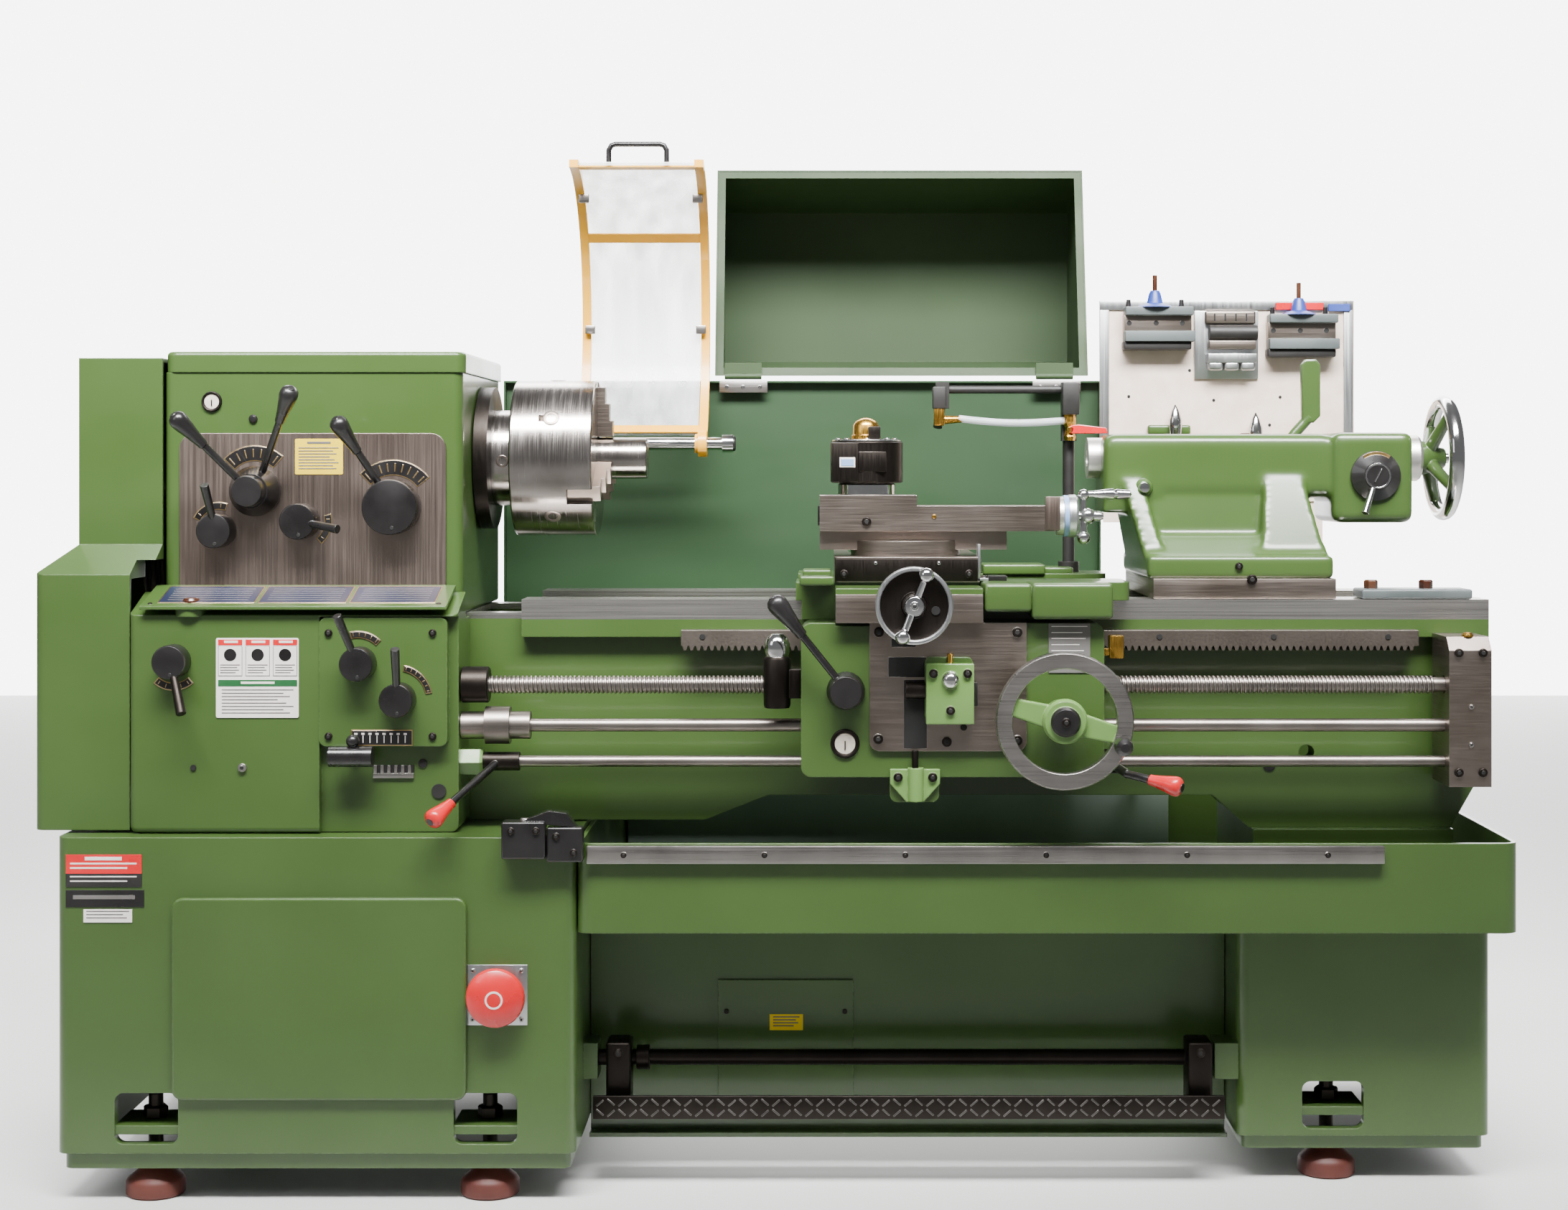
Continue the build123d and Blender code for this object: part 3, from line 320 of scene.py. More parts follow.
# %% Dress the CAD nodes
FINISHES = {
    "left_pedestal": GREEN, "right_pedestal": GREEN, "stand_rear_panel": GREEN, "chip_tray": GREEN,
    "levelling_feet": FOOT_RED, "bed": BED_FINISH, "feed_rack": CAST, "headstock_casting": GREEN,
    "headstock_cover": GREEN, "feed_gearbox": GREEN, "screw_end_bracket": MILLED,
        "electrics_cabinet": SHEET_GREEN,
    "drive_motor": MOTOR_GREY, "motor_pulley": CAST, "input_pulley": CAST, "gear_cover": GREEN,
    "spindle": BLACK_OXIDE, "chuck_backplate": TURNED, "chuck_body": TURNED, "chuck_jaw_1": MILLED,
    "chuck_jaw_2": MILLED, "chuck_jaw_3": MILLED, "feed_rod": ROD_STEEL, "control_rod": BLACK_OXIDE,
    "tumbler_plunger": BLACK, "saddle": GREEN, "apron": GREEN, "coolant_pipe": MATTE_BLACK,
    "cross_slide": MILLED, "compound_swivel": MILLED, "top_slide": MILLED, "quill": GROUND,
    "splash_guard": DEEP_GREEN, "hood": SHEET_GREEN, "guard_rod": CHROME, "guard_frame": YELLOW,
    "guard_window": CLEAR, "tool_board": BOARD, "foot_brake": BLACK_OXIDE, "leadscrew": TURNED,
    "coolant_tap": RED, "apron_control_lever": BLACK, "half_nut_lever": BLACK, "estop_button": RED,
}
for node_name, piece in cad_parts.items():
    piece.data.materials.clear()
    piece.data.materials.append(FINISHES.get(node_name, BLACK))
print("nodes with their own entry:", len(FINISHES), "of", len(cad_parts))

# %% [markdown]
# ## Camera, floor and lights
# The camera stands where a person would: three and a half metres in front of the bed, at chest height,
# level, with a small lens shift in place of a tilt, so that uprights stay upright. The floor is plain
# and pale, and a bright white screen stands well behind. A wide soft lamp overhead does most of the work, as
# workshop ceiling lights do, a second one fills from the left, and the pale world fills the rest.

# %% Camera
bpy.ops.object.select_all(action="DESELECT")
CAMERA_AT = (0.0735, -3.740, 0.992)
bpy.ops.object.camera_add(location=CAMERA_AT, rotation=(math.radians(90.0), 0.0, 0.0))
camera = bpy.context.object
camera.data.lens = 55.97
camera.data.sensor_width = 36.0
camera.data.shift_x = -0.027
camera.data.shift_y = -0.0859
bpy.context.scene.camera = camera
print("lens in mm:", round(camera.data.lens, 1))

# %% Floor
bpy.ops.mesh.primitive_plane_add(size=30.0, location=(0.0, 0.0, 0.0))
floor = bpy.context.object
floor.name = "studio_floor"
floor_paint, tree, shader = new_material("pale_studio_floor")
tree.links.new(blend(tree, noise(tree, 900.0, 2.0), "#dcdcda", "#e2e2e0"), shader.inputs["Base Color"])
shader.inputs["Roughness"].default_value = 0.6
floor.data.materials.append(floor_paint)
print("floor is", floor.dimensions.x, "m wide")

# %% Lights
def soft_lamp(name, place, aim, size, watts, beam_deg=180.0):
    """A soft lamp at place that points at aim, all in metres, with its beam held to an angle."""
    bpy.ops.object.light_add(type="AREA", location=place)
    lamp = bpy.context.object
    lamp.name = name
    lamp.data.shape = "RECTANGLE"
    lamp.data.size, lamp.data.size_y = size
    lamp.data.energy = watts
    lamp.data.spread = math.radians(beam_deg)
    lamp.rotation_euler = (Vector(aim) - Vector(place)).to_track_quat("-Z", "Y").to_euler()
    return lamp


soft_lamp("ceiling_lamp", (0.1, -1.5, 2.8), (0.0, -0.1, 1.2), (3.2, 0.7), 112.0, 75.0)
soft_lamp("back_lamp", (0.3, 1.6, 2.8), (0.0, 0.0, 1.0), (3.0, 0.8), 70.0)
soft_lamp("left_fill_lamp", (-2.8, -2.4, 2.4), (-0.5, -0.2, 0.9), (1.2, 1.6), 20.0)
world = bpy.data.worlds.new("pale_studio")
bpy.context.scene.world = world
world.use_nodes = True
world.node_tree.nodes["Background"].inputs["Color"].default_value = linear("#f4f6f8")
world.node_tree.nodes["Background"].inputs["Strength"].default_value = 0.22
bpy.ops.mesh.primitive_plane_add(size=1.0, location=(0.0, 7.0, 4.0),
    rotation=(math.radians(90.0), 0.0, 0.0))
screen = bpy.context.object
screen.name = "white_screen"
screen.scale = (9.0, 8.2, 1.0)
screen_light = bpy.data.materials.new("white_screen_light")
screen_light.use_nodes = True
screen_light.node_tree.nodes.clear()
tree = screen_light.node_tree
glow = add(tree, "Emission", {"Color": linear("#ffffff"), "Strength": 7.0})
add(tree, "OutputMaterial", links={"Surface": glow.outputs[0]})
screen.data.materials.append(screen_light)

# %% [markdown]
# ## Modelling helpers
# Most small parts of a machine are one of four shapes: a block with eased edges, a piece turned on a
# lathe, a flat plate cut to an outline, or a rod or pipe that follows a line. Each helper below makes
# one of them with Blender's own operators. The outline helper starts from a single point and extrudes
# it from corner to corner, and the turned and piped shapes reuse that outline.

# %% Selection and finishing helpers
def fresh():
    """Object mode with nothing selected."""
    if bpy.context.object and bpy.context.object.mode != "OBJECT":
        bpy.ops.object.mode_set(mode="OBJECT")
    bpy.ops.object.select_all(action="DESELECT")


def only(piece):
    """Selects one piece and makes it active."""
    fresh()
    piece.select_set(True)
    bpy.context.view_layer.objects.active = piece
    return piece


def in_metres(point):
    """A point in millimetres as a vector in metres."""
    return Vector(point) * MM


def settle(piece, smooth_deg=32.0):
    """Puts the place, turn and size into the mesh, points the normals outward and shades by angle."""
    only(piece)
    bpy.ops.object.transform_apply(location=True, rotation=True, scale=True)
    bpy.ops.object.mode_set(mode="EDIT")
    bpy.ops.mesh.select_all(action="SELECT")
    bpy.ops.mesh.remove_doubles(threshold=0.00001)
    bpy.ops.mesh.normals_make_consistent(inside=False)
    bpy.ops.object.mode_set(mode="OBJECT")
    bpy.ops.object.shade_smooth_by_angle(angle=math.radians(smooth_deg))
    return piece


def join(name, parts):
    """Joins several meshes into one object with that name. Their finishes stay with them."""
    fresh()
    for part in parts:
        part.select_set(True)
    bpy.context.view_layer.objects.active = parts[0]
    if len(parts) > 1:
        bpy.ops.object.join()
    piece = bpy.context.object
    piece.name = name
    piece.data.name = name
    return piece


def paint(piece, material):
    """Gives a piece its one finish."""
    piece.data.materials.clear()
    piece.data.materials.append(material)
    return piece


def place(name, parts, body, slot):
    """Joins the parts into the named piece, which moves with a CAD body. The slot argument is not used."""
    piece = join(name, parts)
    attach(piece, body)
    return piece


print("helpers ready")

# %% Four shapes
def trace(points, closed=False):
    """A line of edges through the points, in millimetres, extruded from one vertex."""
    fresh()
    bpy.ops.mesh.primitive_plane_add(size=MM, location=in_metres(points[0]))
    bpy.ops.object.transform_apply(location=True, rotation=True, scale=True)
    bpy.ops.object.mode_set(mode="EDIT")
    bpy.ops.mesh.select_all(action="SELECT")
    bpy.ops.mesh.merge(type="CENTER")
    for first, second in zip(points, points[1:]):
        step = in_metres(second) - in_metres(first)
        bpy.ops.mesh.extrude_region_move(TRANSFORM_OT_translate={"value": step})
    if closed:
        bpy.ops.mesh.select_all(action="SELECT")
        bpy.ops.mesh.edge_face_add()
    bpy.ops.object.mode_set(mode="OBJECT")
    return bpy.context.object


def block(x, y, z, material, ease=1.5, segments=3):
    """A block between two corners with eased edges."""
    fresh()
    middle = in_metres([(a + b) / 2 for a, b in (x, y, z)])
    bpy.ops.mesh.primitive_cube_add(size=1.0, location=middle)
    piece = bpy.context.object
    piece.scale = in_metres([abs(b - a) for a, b in (x, y, z)])
    bpy.ops.object.transform_apply(location=True, rotation=True, scale=True)
    bpy.ops.object.mode_set(mode="EDIT")
    bpy.ops.mesh.select_all(action="SELECT")
    bpy.ops.mesh.bevel(offset=ease * MM, segments=segments, affect="EDGES")
    bpy.ops.object.mode_set(mode="OBJECT")
    return paint(settle(piece), material)


def turned(profile, start, toward, material, steps=40):
    """A piece turned from a profile of (distance along, radius) pairs, set at start and pointing toward."""
    piece = trace([(radius, 0.0, along) for along, radius in profile])
    bpy.ops.object.mode_set(mode="EDIT")
    bpy.ops.mesh.select_all(action="SELECT")
    bpy.ops.mesh.spin(steps=steps, angle=math.tau, center=(0.0, 0.0, 0.0), axis=(0.0, 0.0, 1.0))
    bpy.ops.object.mode_set(mode="OBJECT")
    piece.rotation_euler = Vector(toward).to_track_quat("Z", "Y").to_euler()
    piece.location = in_metres(start)
    return paint(settle(piece), material)


def plate(outline, thickness, material, ease=0.6):
    """A flat plate with this outline of points, thickened along a vector in millimetres."""
    piece = trace(outline, closed=True)
    bpy.ops.object.mode_set(mode="EDIT")
    bpy.ops.mesh.select_all(action="SELECT")
    bpy.ops.mesh.extrude_region_move(TRANSFORM_OT_translate={"value": in_metres(thickness)})
    bpy.ops.object.mode_set(mode="OBJECT")
    settle(piece)
    if ease:
        only(piece)
        bevel = piece.modifiers.new("ease", "BEVEL")
        bevel.width = ease * MM
        bevel.segments = 2
        bevel.limit_method = "ANGLE"
        bevel.angle_limit = math.radians(50.0)
        bpy.ops.object.modifier_apply(modifier=bevel.name)
    return paint(settle(piece), material)


def pipe(points, radius, material, sides=6):
    """A round rod or pipe that follows the points."""
    piece = trace(points)
    only(piece)
    bpy.ops.object.convert(target="CURVE")
    curve = bpy.context.object
    curve.data.bevel_depth = radius * MM
    curve.data.bevel_resolution = sides
    curve.data.use_fill_caps = True
    bpy.ops.object.convert(target="MESH")
    return paint(settle(bpy.context.object), material)


print("shapes: trace, block, turned, plate, pipe")

# %% Outlines and small hardware
def ring_points(centre, radius, start_deg, end_deg, y, count=10):
    """Points along an arc that is seen from the front, in millimetres."""
    angles = [math.radians(start_deg + (end_deg - start_deg) * i / count) for i in range(count + 1)]
    return [(centre[0] + radius * math.cos(a), y, centre[1] + radius * math.sin(a)) for a in angles]


def round_rect(x, z, radius, y, corners=(1, 1, 1, 1)):
    """Corner points of a rectangle seen from the front, with rounded corners where asked for."""
    spots = ((x[1], z[1], 0), (x[0], z[1], 90), (x[0], z[0], 180), (x[1], z[0], 270))
    points = []
    for (cx, cz, turn_deg), wanted in zip(spots, corners):
        if not wanted:
            points.append((cx, y, cz))
            continue
        inner_x = cx - radius if cx == x[1] else cx + radius
        inner_z = cz - radius if cz == z[1] else cz + radius
        points += ring_points((inner_x, inner_z), radius, turn_deg, turn_deg + 90, y, 6)
    return points


def sector(centre, radii, angles, y, depth, material):
    """A flat piece of a ring, as a scale plate round a knob."""
    outer = ring_points(centre, radii[1], angles[0], angles[1], y, 14)
    inner = ring_points(centre, radii[0], angles[1], angles[0], y, 14)
    return plate(outer + inner, (0.0, -depth, 0.0), material, ease=0.0)


def socket_screw(spot, toward, radius, material=BLACK_OXIDE):
    """A cap screw with a hexagon socket: a turned head, and a flat six-sided disc in its face, dark with painted
    shade for the socket.
    """
    head = [(0.0, 0.0), (0.0, radius), (radius * 0.55, radius), (radius * 0.7, radius * 0.86),
        (radius * 0.7, 0.0)]
    body = turned(head, spot, toward, material, 24)
    way = Vector(toward).normalized()
    face = Vector(spot) + way * (radius * 0.62)
    hole = turned([(0.0, 0.0), (0.0, radius * 0.5), (radius * 0.12, radius * 0.5),
        (radius * 0.12, 0.0)], face, toward, HOLE_SHADE_AND_MARK, 6)
    return [body, hole]


def screw_ring(spots, toward, radius, material=BLACK_OXIDE):
    """Cap screws at several spots, as one list of parts."""
    return [part for spot in spots for part in socket_screw(spot, toward, radius, material)]


print("hardware: sector plates and socket screws")

# %% [markdown]
# ## Levers with tapered grips
# A gear lever is three parts: a phenolic hub on the shaft, a slim steel rod, and a moulded grip that
# swells towards its end. The hub and the grip are turned shapes, and the rod is a turned cylinder
# between them. One function makes a lever from the hub, the tip and a few sizes, so that the eight
# levers on the headstock and feed gearbox share one design, as they do on a real machine.

# %% Levers
GRIP = [(0.0, 0.0), (0.0, 5.6), (1.5, 7.0), (8.0, 7.2), (26.0, 9.6), (44.0, 12.4), (50.0, 12.9)]
GRIP += [(55.0, 12.0), (59.0, 9.0), (61.0, 5.0), (61.6, 0.0)]
FRONT = (0.0, -1.0, 0.0)


def grip(start, tip, material, scale=1.0, length=62.0):
    """A tapered grip whose end is at the tip, along the line from start."""
    way = (Vector(tip) - Vector(start)).normalized()
    foot = Vector(tip) - way * length * scale
    return turned([(a * scale * length / 62.0, r * scale) for a, r in GRIP], foot, way, material, 28)


def rod(start, end, radius, material, end_radius=None):
    """A plain round rod with slightly eased ends."""
    length = (Vector(end) - Vector(start)).length
    last = radius if end_radius is None else end_radius
    profile = [(0.0, 0.0), (0.0, radius - 0.6), (0.6, radius), (length - 0.6, last),
        (length, last - 0.6), (length, 0.0)]
    return turned(profile, start, Vector(end) - Vector(start), material, 20)


def knob(centre, y, radius, depth, material=BLACK):
    """A short cylinder with an eased front edge and a small set-screw hole in its face, drawn as a flat disc of
    painted shade.
    """
    profile = [(0.0, 0.0), (0.0, radius), (depth - 2.5, radius), (depth - 0.6, radius - 1.0),
        (depth, radius - 3.0), (depth, 0.0)]
    hole_spot = (centre[0] + radius * 0.1, y - depth + 0.2, centre[1] - radius * 0.75)
    hole = turned([(0.0, 0.0), (0.0, 2.6), (0.7, 2.6), (0.7, 0.0)], hole_spot, FRONT, HOLE_SHADE_AND_MARK, 12)
    return [turned(profile, (centre[0], y, centre[1]), FRONT, material, 56), hole]


def lever_piece(name, parts):
    """Finishes a lever: it rides on its own body and stands for the CAD node of that name."""
    piece = place(name + "_shape", parts, name, "black_plastic")
    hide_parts(name)
    return piece


SPEED_HUB = (-723.0, 963.0)
cone = [(0.0, 0.0), (0.0, 34.0), (3.0, 35.0), (14.0, 35.0), (34.0, 25.0), (38.0, 24.0), (38.0, 0.0)]
cone_hub = turned(cone, (SPEED_HUB[0], -333.5, SPEED_HUB[1]), FRONT, BLACK, 64)
right_tip = (-651.0, -440.0, 1104.0)
right_start = (-711.0, -352.0, 988.0)
lever_piece("speed_lever_right", [cone_hub, rod(right_start, right_tip, 5.2, BLACK),
    grip(right_start, right_tip, BLACK)])
disc = [(0.0, 0.0), (0.0, 22.0), (20.0, 22.0), (22.5, 20.5), (23.0, 0.0)]
disc_hub = turned(disc, (SPEED_HUB[0], -372.0, SPEED_HUB[1]), FRONT, BLACK, 56)
left_tip = (-812.0, -440.0, 1068.0)
left_start = (-734.0, -382.0, 977.0)
lever_piece("speed_lever_left", [disc_hub, rod(left_start, left_tip, 5.2, BLACK),
    grip(left_start, left_tip, BLACK)])
range_tip = (-596.0, -420.0, 1063.0)
range_start = (-547.0, -352.0, 972.0)
range_parts = knob((-531.0, 941.0), -333.5, 38.5, 38.0)
lever_piece("range_lever", range_parts + [rod(range_start, range_tip, 5.2, BLACK),
    grip(range_start, range_tip, BLACK)])
print("three long levers on the headstock")

# %% Short levers
SHORT_LEVERS = {
    "feed_direction_lever": ((-775.0, 908.0), -333.5, 24.0, 36.0, (-781.0, -392.0, 972.0)),
    "feed_range_lever": ((-659.0, 921.0), -333.5, 25.0, 36.0, (-598.0, -392.0, 911.0)),
    "gearbox_lever_2": ((-563.0, 729.0), -413.0, 23.0, 33.0, (-584.0, -466.0, 797.0)),
    "gearbox_lever_3": ((-509.0, 680.0), -413.0, 23.0, 33.0, (-506.0, -466.0, 752.0)),
    "gearbox_lever_1": ((-817.0, 732.0), -411.0, 23.0, 33.0, (-794.0, -462.0, 664.0)),
}
for name, (centre, y, radius, depth, tip) in SHORT_LEVERS.items():
    start = (centre[0], y - depth * 0.55, centre[1])
    finish, tip_radius = (BLACK_OXIDE, 7.0) if name == "gearbox_lever_1" else (BLACK, 6.2)
    lever_piece(name, knob(centre, y, radius, depth) + [rod(start, tip, 5.0, finish, tip_radius)])
print("short levers:", len(SHORT_LEVERS))

# %% [markdown]
# ## Front plates, scales and labels
# The upper half of the headstock front is a thin brushed steel plate with a rounded corner. Round each
# knob a curved scale tells its positions: a black sector with a thin gold border and gold marks. The
# warning plates are generic: coloured fields and grey bars stand where lettering would be.

# %% Headstock face plate and scales
FACE_Y = -330.5
face = plate(round_rect((-831.0, -458.0), (828.0, 1044.0), 22.0, FACE_Y, (1, 1, 0, 0)),
    (0.0, -2.4, 0.0), BRUSHED)
place("headstock_face_plate", [face], "machine", "ground_steel")


def scale_plate(centre, radii, angles, y, marks):
    """A black sector with a gold border and gold marks, stacked in thin layers so that none coincide."""
    parts = [sector(centre, radii, angles, y, 0.8, GOLD)]
    trim = math.degrees(1.6 / radii[1])
    inner = (radii[0] + 1.4, radii[1] - 1.4)
    parts.append(sector(centre, inner, (angles[0] + trim, angles[1] - trim), y - 0.6, 0.6, BLACK))
    middle = (inner[0] + inner[1]) / 2
    reach = (inner[1] - inner[0]) * 0.3
    for index in range(marks):
        angle = angles[0] + (angles[1] - angles[0]) * (index + 0.5) / marks
        parts.append(sector(centre, (middle - reach, middle + reach), (angle - 0.9, angle + 0.9),
            y - 1.0, 0.5, GOLD))
    return parts


PLATE_Y = FACE_Y - 2.2
GEARBOX_Y = -410.3
COVER_Y = -412.3
scales = scale_plate((-725.0, 967.0), (38.0, 60.0), (48.0, 137.0), PLATE_Y, 7)
scales += scale_plate((-532.0, 942.0), (43.0, 65.0), (38.0, 136.0), PLATE_Y, 9)
scales += scale_plate((-776.0, 909.0), (28.0, 39.0), (70.0, 155.0), PLATE_Y, 3)
scales += scale_plate((-659.0, 921.0), (31.0, 42.0), (-50.0, 15.0), PLATE_Y, 3)
scales += scale_plate((-818.0, 732.0), (30.0, 41.0), (228.0, 312.0), GEARBOX_Y, 5)
scales += scale_plate((-566.0, 728.0), (35.0, 45.0), (45.0, 105.0), COVER_Y, 5)
scales += scale_plate((-511.0, 680.0), (38.0, 47.0), (10.0, 80.0), COVER_Y, 7)
place("knob_scale_plates", scales, "machine", "black_plastic")
print("scale parts on the knobs:", len(scales))

# %% Warning plates and comb label
def bars(x, z, rows, y, material, share=0.45, ragged=(1.0,)):
    """Rows of thin bars that stand for lines of lettering."""
    pitch = (z[1] - z[0]) / rows
    parts = []
    for row in range(rows):
        top = z[1] - pitch * row
        end = x[0] + (x[1] - x[0]) * ragged[row % len(ragged)]
        parts.append(block((x[0], end), (y - 0.3, y), (top - pitch * share, top), material, 0.1, 1))
    return parts


RAGGED = (1.0, 0.86, 0.95, 0.78, 0.9)
yellow = [plate(round_rect((-669.0, -602.0), (986.0, 1036.0), 2.0, PLATE_Y), (0.0, -0.8, 0.0),
    LABEL_YELLOW, 0.0)]
yellow += bars((-652.0, -619.0), (1028.0, 1032.0), 1, PLATE_Y - 0.7, PRINT_GREY, 0.8)
yellow += bars((-664.0, -608.0), (991.0, 1024.0), 8, PLATE_Y - 0.7, PRINT_GREY, 0.4, RAGGED)
place("headstock_notice", yellow, "machine", "yellow_enamel")

safety = [plate(round_rect((-760.0, -647.0), (654.0, 763.0), 2.5, GEARBOX_Y), (0.0, -0.9, 0.0), WHITE, 0.0)]
for left in (-757.0, -719.5, -682.0):
    safety.append(block((left, left + 33.0), (GEARBOX_Y - 1.2, GEARBOX_Y - 0.8), (753.0, 761.0), RED,
        0.1, 1))
    safety += bars((left + 8.0, left + 27.0), (754.5, 759.5), 1, GEARBOX_Y - 1.1, WHITE, 0.7)
    frame_lines = plate(round_rect((left, left + 33.0), (711.0, 752.0), 0.5, GEARBOX_Y - 0.8),
        (0.0, -0.4, 0.0), PRINT_GREY, 0.0)
    field = plate(round_rect((left + 0.7, left + 32.3), (711.7, 751.3), 0.5, GEARBOX_Y - 1.1),
        (0.0, -0.3, 0.0), WHITE, 0.0)
    sign = turned([(0.0, 0.0), (0.0, 8.5), (0.5, 8.5), (0.5, 0.0)],
        (left + 16.5, GEARBOX_Y - 1.2, 740.0), FRONT, BLACK, 24)
    safety += [frame_lines, field, sign]
    safety += bars((left + 3.0, left + 30.0), (713.0, 727.0), 4, GEARBOX_Y - 1.3, PRINT_GREY, 0.4, RAGGED)
safety.append(block((-757.0, -649.0), (GEARBOX_Y - 1.2, GEARBOX_Y - 0.8), (697.0, 706.0), PRINT_GREEN,
    0.1, 1))
safety += bars((-726.0, -680.0), (699.5, 703.5), 1, GEARBOX_Y - 1.1, WHITE, 0.8)
safety += bars((-752.0, -654.0), (657.0, 693.0), 8, GEARBOX_Y - 0.8, PRINT_GREY, 0.35, RAGGED)
place("gearbox_safety_plate", safety, "machine", "pale_sheet")

comb = [block((-575.0, -491.0), (COVER_Y - 0.8, COVER_Y), (616.0, 638.0), GOLD, 0.3, 1)]
comb.append(block((-573.5, -492.5), (COVER_Y - 1.1, COVER_Y - 0.6), (617.5, 636.5), BLACK, 0.1, 1))
for index in range(8):
    x = -569.0 + index * 9.6
    comb.append(block((x, x + 1.2), (COVER_Y - 1.4, COVER_Y - 1.0), (620.0, 630.0), WHITE, 0.1, 1))
    comb.append(block((x - 1.6, x + 2.8), (COVER_Y - 1.4, COVER_Y - 1.0), (631.0, 633.5), WHITE, 0.1, 1))
place("thread_comb_label", comb, "machine", "black_plastic")
print("labels made: 3")

# %% [markdown]
# ## The tailstock casting
# A tailstock is a hollow iron casting with a long barrel on top, a waist that is scooped out so that
# the compound slide can come close, and a broad foot. Every corner is a sand-cast fillet. Blocks that
# overlap, joined and rebuilt with a voxel remesh, then smoothed, give those fillets all at once.

# %% Tailstock casting
def cast_blend(parts, voxel_mm, rounds):
    """Fuses overlapping parts into one skin and softens its corners, as a casting has them."""
    piece = join("casting", parts)
    only(piece)
    remesh = piece.modifiers.new("skin", "REMESH")
    remesh.mode = "VOXEL"
    remesh.voxel_size = voxel_mm * MM
    bpy.ops.object.modifier_apply(modifier=remesh.name)
    soft = piece.modifiers.new("soft", "SMOOTH")
    soft.factor = 0.5
    soft.iterations = rounds
    bpy.ops.object.modifier_apply(modifier=soft.name)
    only(piece)
    bpy.ops.object.shade_smooth()
    return piece


def tapered(x, y, z, top_x, top_y, material):
    """A block whose top face has another width and depth than its foot."""
    piece = plate([(x[0], y[0], z[0]), (x[1], y[0], z[0]), (x[1], y[1], z[0]), (x[0], y[1], z[0])],
        (0.0, 0.0, z[1] - z[0]), material, 0.0)
    middle = [(a + b) / 2 for a, b in (top_x, top_y)]
    old = [(a + b) / 2 for a, b in (x, y)]
    only(piece)
    for face_index in piece.data.polygons:
        face_index.select = all(abs(piece.data.vertices[v].co.z - z[1] * MM) < 1e-5 for v in face_index.vertices)
    for corner in piece.data.vertices:
        corner.select = abs(corner.co.z - z[1] * MM) < 1e-5
    for side in piece.data.edges:
        side.select = all(piece.data.vertices[v].select for v in side.vertices)
    bpy.ops.object.mode_set(mode="EDIT")
    size = ((top_x[1] - top_x[0]) / (x[1] - x[0]), (top_y[1] - top_y[0]) / (y[1] - y[0]), 1.0)
    bpy.ops.transform.resize(value=size, center_override=(old[0] * MM, old[1] * MM, z[1] * MM))
    shift = (middle[0] - old[0], middle[1] - old[1], 0.0)
    bpy.ops.transform.translate(value=in_metres(shift))
    bpy.ops.object.mode_set(mode="OBJECT")
    return settle(piece)


barrel = block((476.0, 812.0), (-206.0, -74.0), (952.0, 1045.0), GREEN, 16.0, 4)
rear_box = block((806.0, 923.0), (-216.0, -64.0), (916.0, 1047.0), GREEN, 12.0, 4)
web = tapered((534.0, 784.0), (-216.0, -64.0), (862.0, 985.0), (528.0, 764.0), (-200.0, -80.0), GREEN)
buttress = tapered((696.0, 790.0), (-262.0, -18.0), (862.0, 985.0), (708.0, 764.0), (-208.0, -72.0), GREEN)
left_rib = tapered((529.0, 560.0), (-262.0, -18.0), (862.0, 985.0), (500.0, 530.0), (-206.0, -74.0), GREEN)
slope = tapered((529.0, 793.0), (-284.0, 4.0), (860.0, 898.0), (534.0, 786.0), (-222.0, -58.0), GREEN)
foot = block((529.0, 793.0), (-286.0, 6.0), (838.0, 871.0), GREEN, 5.0, 3)
neck = tapered((476.0, 560.0), (-200.0, -80.0), (930.0, 960.0), (476.0, 560.0), (-206.0, -74.0), GREEN)
skin = paint(cast_blend([barrel, rear_box, web, buttress, left_rib, slope, foot, neck], 4.0, 7), GREEN)
base = block((535.0, 793.0), (-300.0, 20.0), (810.4, 839.0), MILLED, 1.2, 2)
casting = place("tailstock_casting", [skin, base], "tailstock", "green_enamel")
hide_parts("tailstock_body")
print("tailstock faces:", len(casting.data.polygons))

# %% Tailstock fittings
fittings = screw_ring([(658.0, -286.5, 856.0)], FRONT, 5.5)
fittings += screw_ring([(674.0, -300.0, 838.0)], FRONT, 7.0)
boss = [(0.0, 0.0), (0.0, 14.0), (6.0, 12.5), (9.0, 9.0), (9.5, 0.0)]
fittings.append(turned(boss, (533.0, -206.0, 967.0), FRONT, GREEN, 32))
plug = [(0.0, 0.0), (0.0, 9.0), (6.0, 9.0), (10.0, 7.0), (12.0, 0.0)]
fittings.append(turned(plug, (533.0, -213.0, 967.0), FRONT, CHROME, 28))
fittings.append(block((535.0, 572.0), (-120.0, -98.0), (932.0, 951.0), ALUMINIUM, 1.0, 2))
place("tailstock_fittings", fittings, "tailstock", "ground_steel")
dial = [(0.0, 0.0), (0.0, 36.0), (4.0, 36.0), (12.0, 26.0), (17.0, 20.0), (17.0, 0.0)]
dial_parts = [turned(dial, (867.0, -217.0, 984.0), FRONT, BLACK, 56)]
dial_parts.append(turned([(0.0, 0.0), (0.0, 18.5), (1.5, 18.5), (1.5, 16.5), (0.8, 16.0), (0.8, 0.0)],
    (867.0, -234.0, 984.0), FRONT, CHROME, 48))
dial_parts.append(turned([(0.0, 0.0), (0.0, 16.0), (1.0, 16.0), (1.0, 0.0)], (867.0, -234.2, 984.0),
    FRONT, BLACK, 48))
dial_parts.append(rod((862.0, -236.0, 975.0), (872.0, -236.0, 994.0), 1.0, CHROME))
dial_parts.append(rod((861.0, -230.0, 968.0), (846.0, -245.0, 930.0), 4.2, CHROME, 5.4))
dial_parts += [sector((867.0, 984.0), (27.0, 35.0), (55.0, 125.0), -224.6, 0.8, GOLD)]
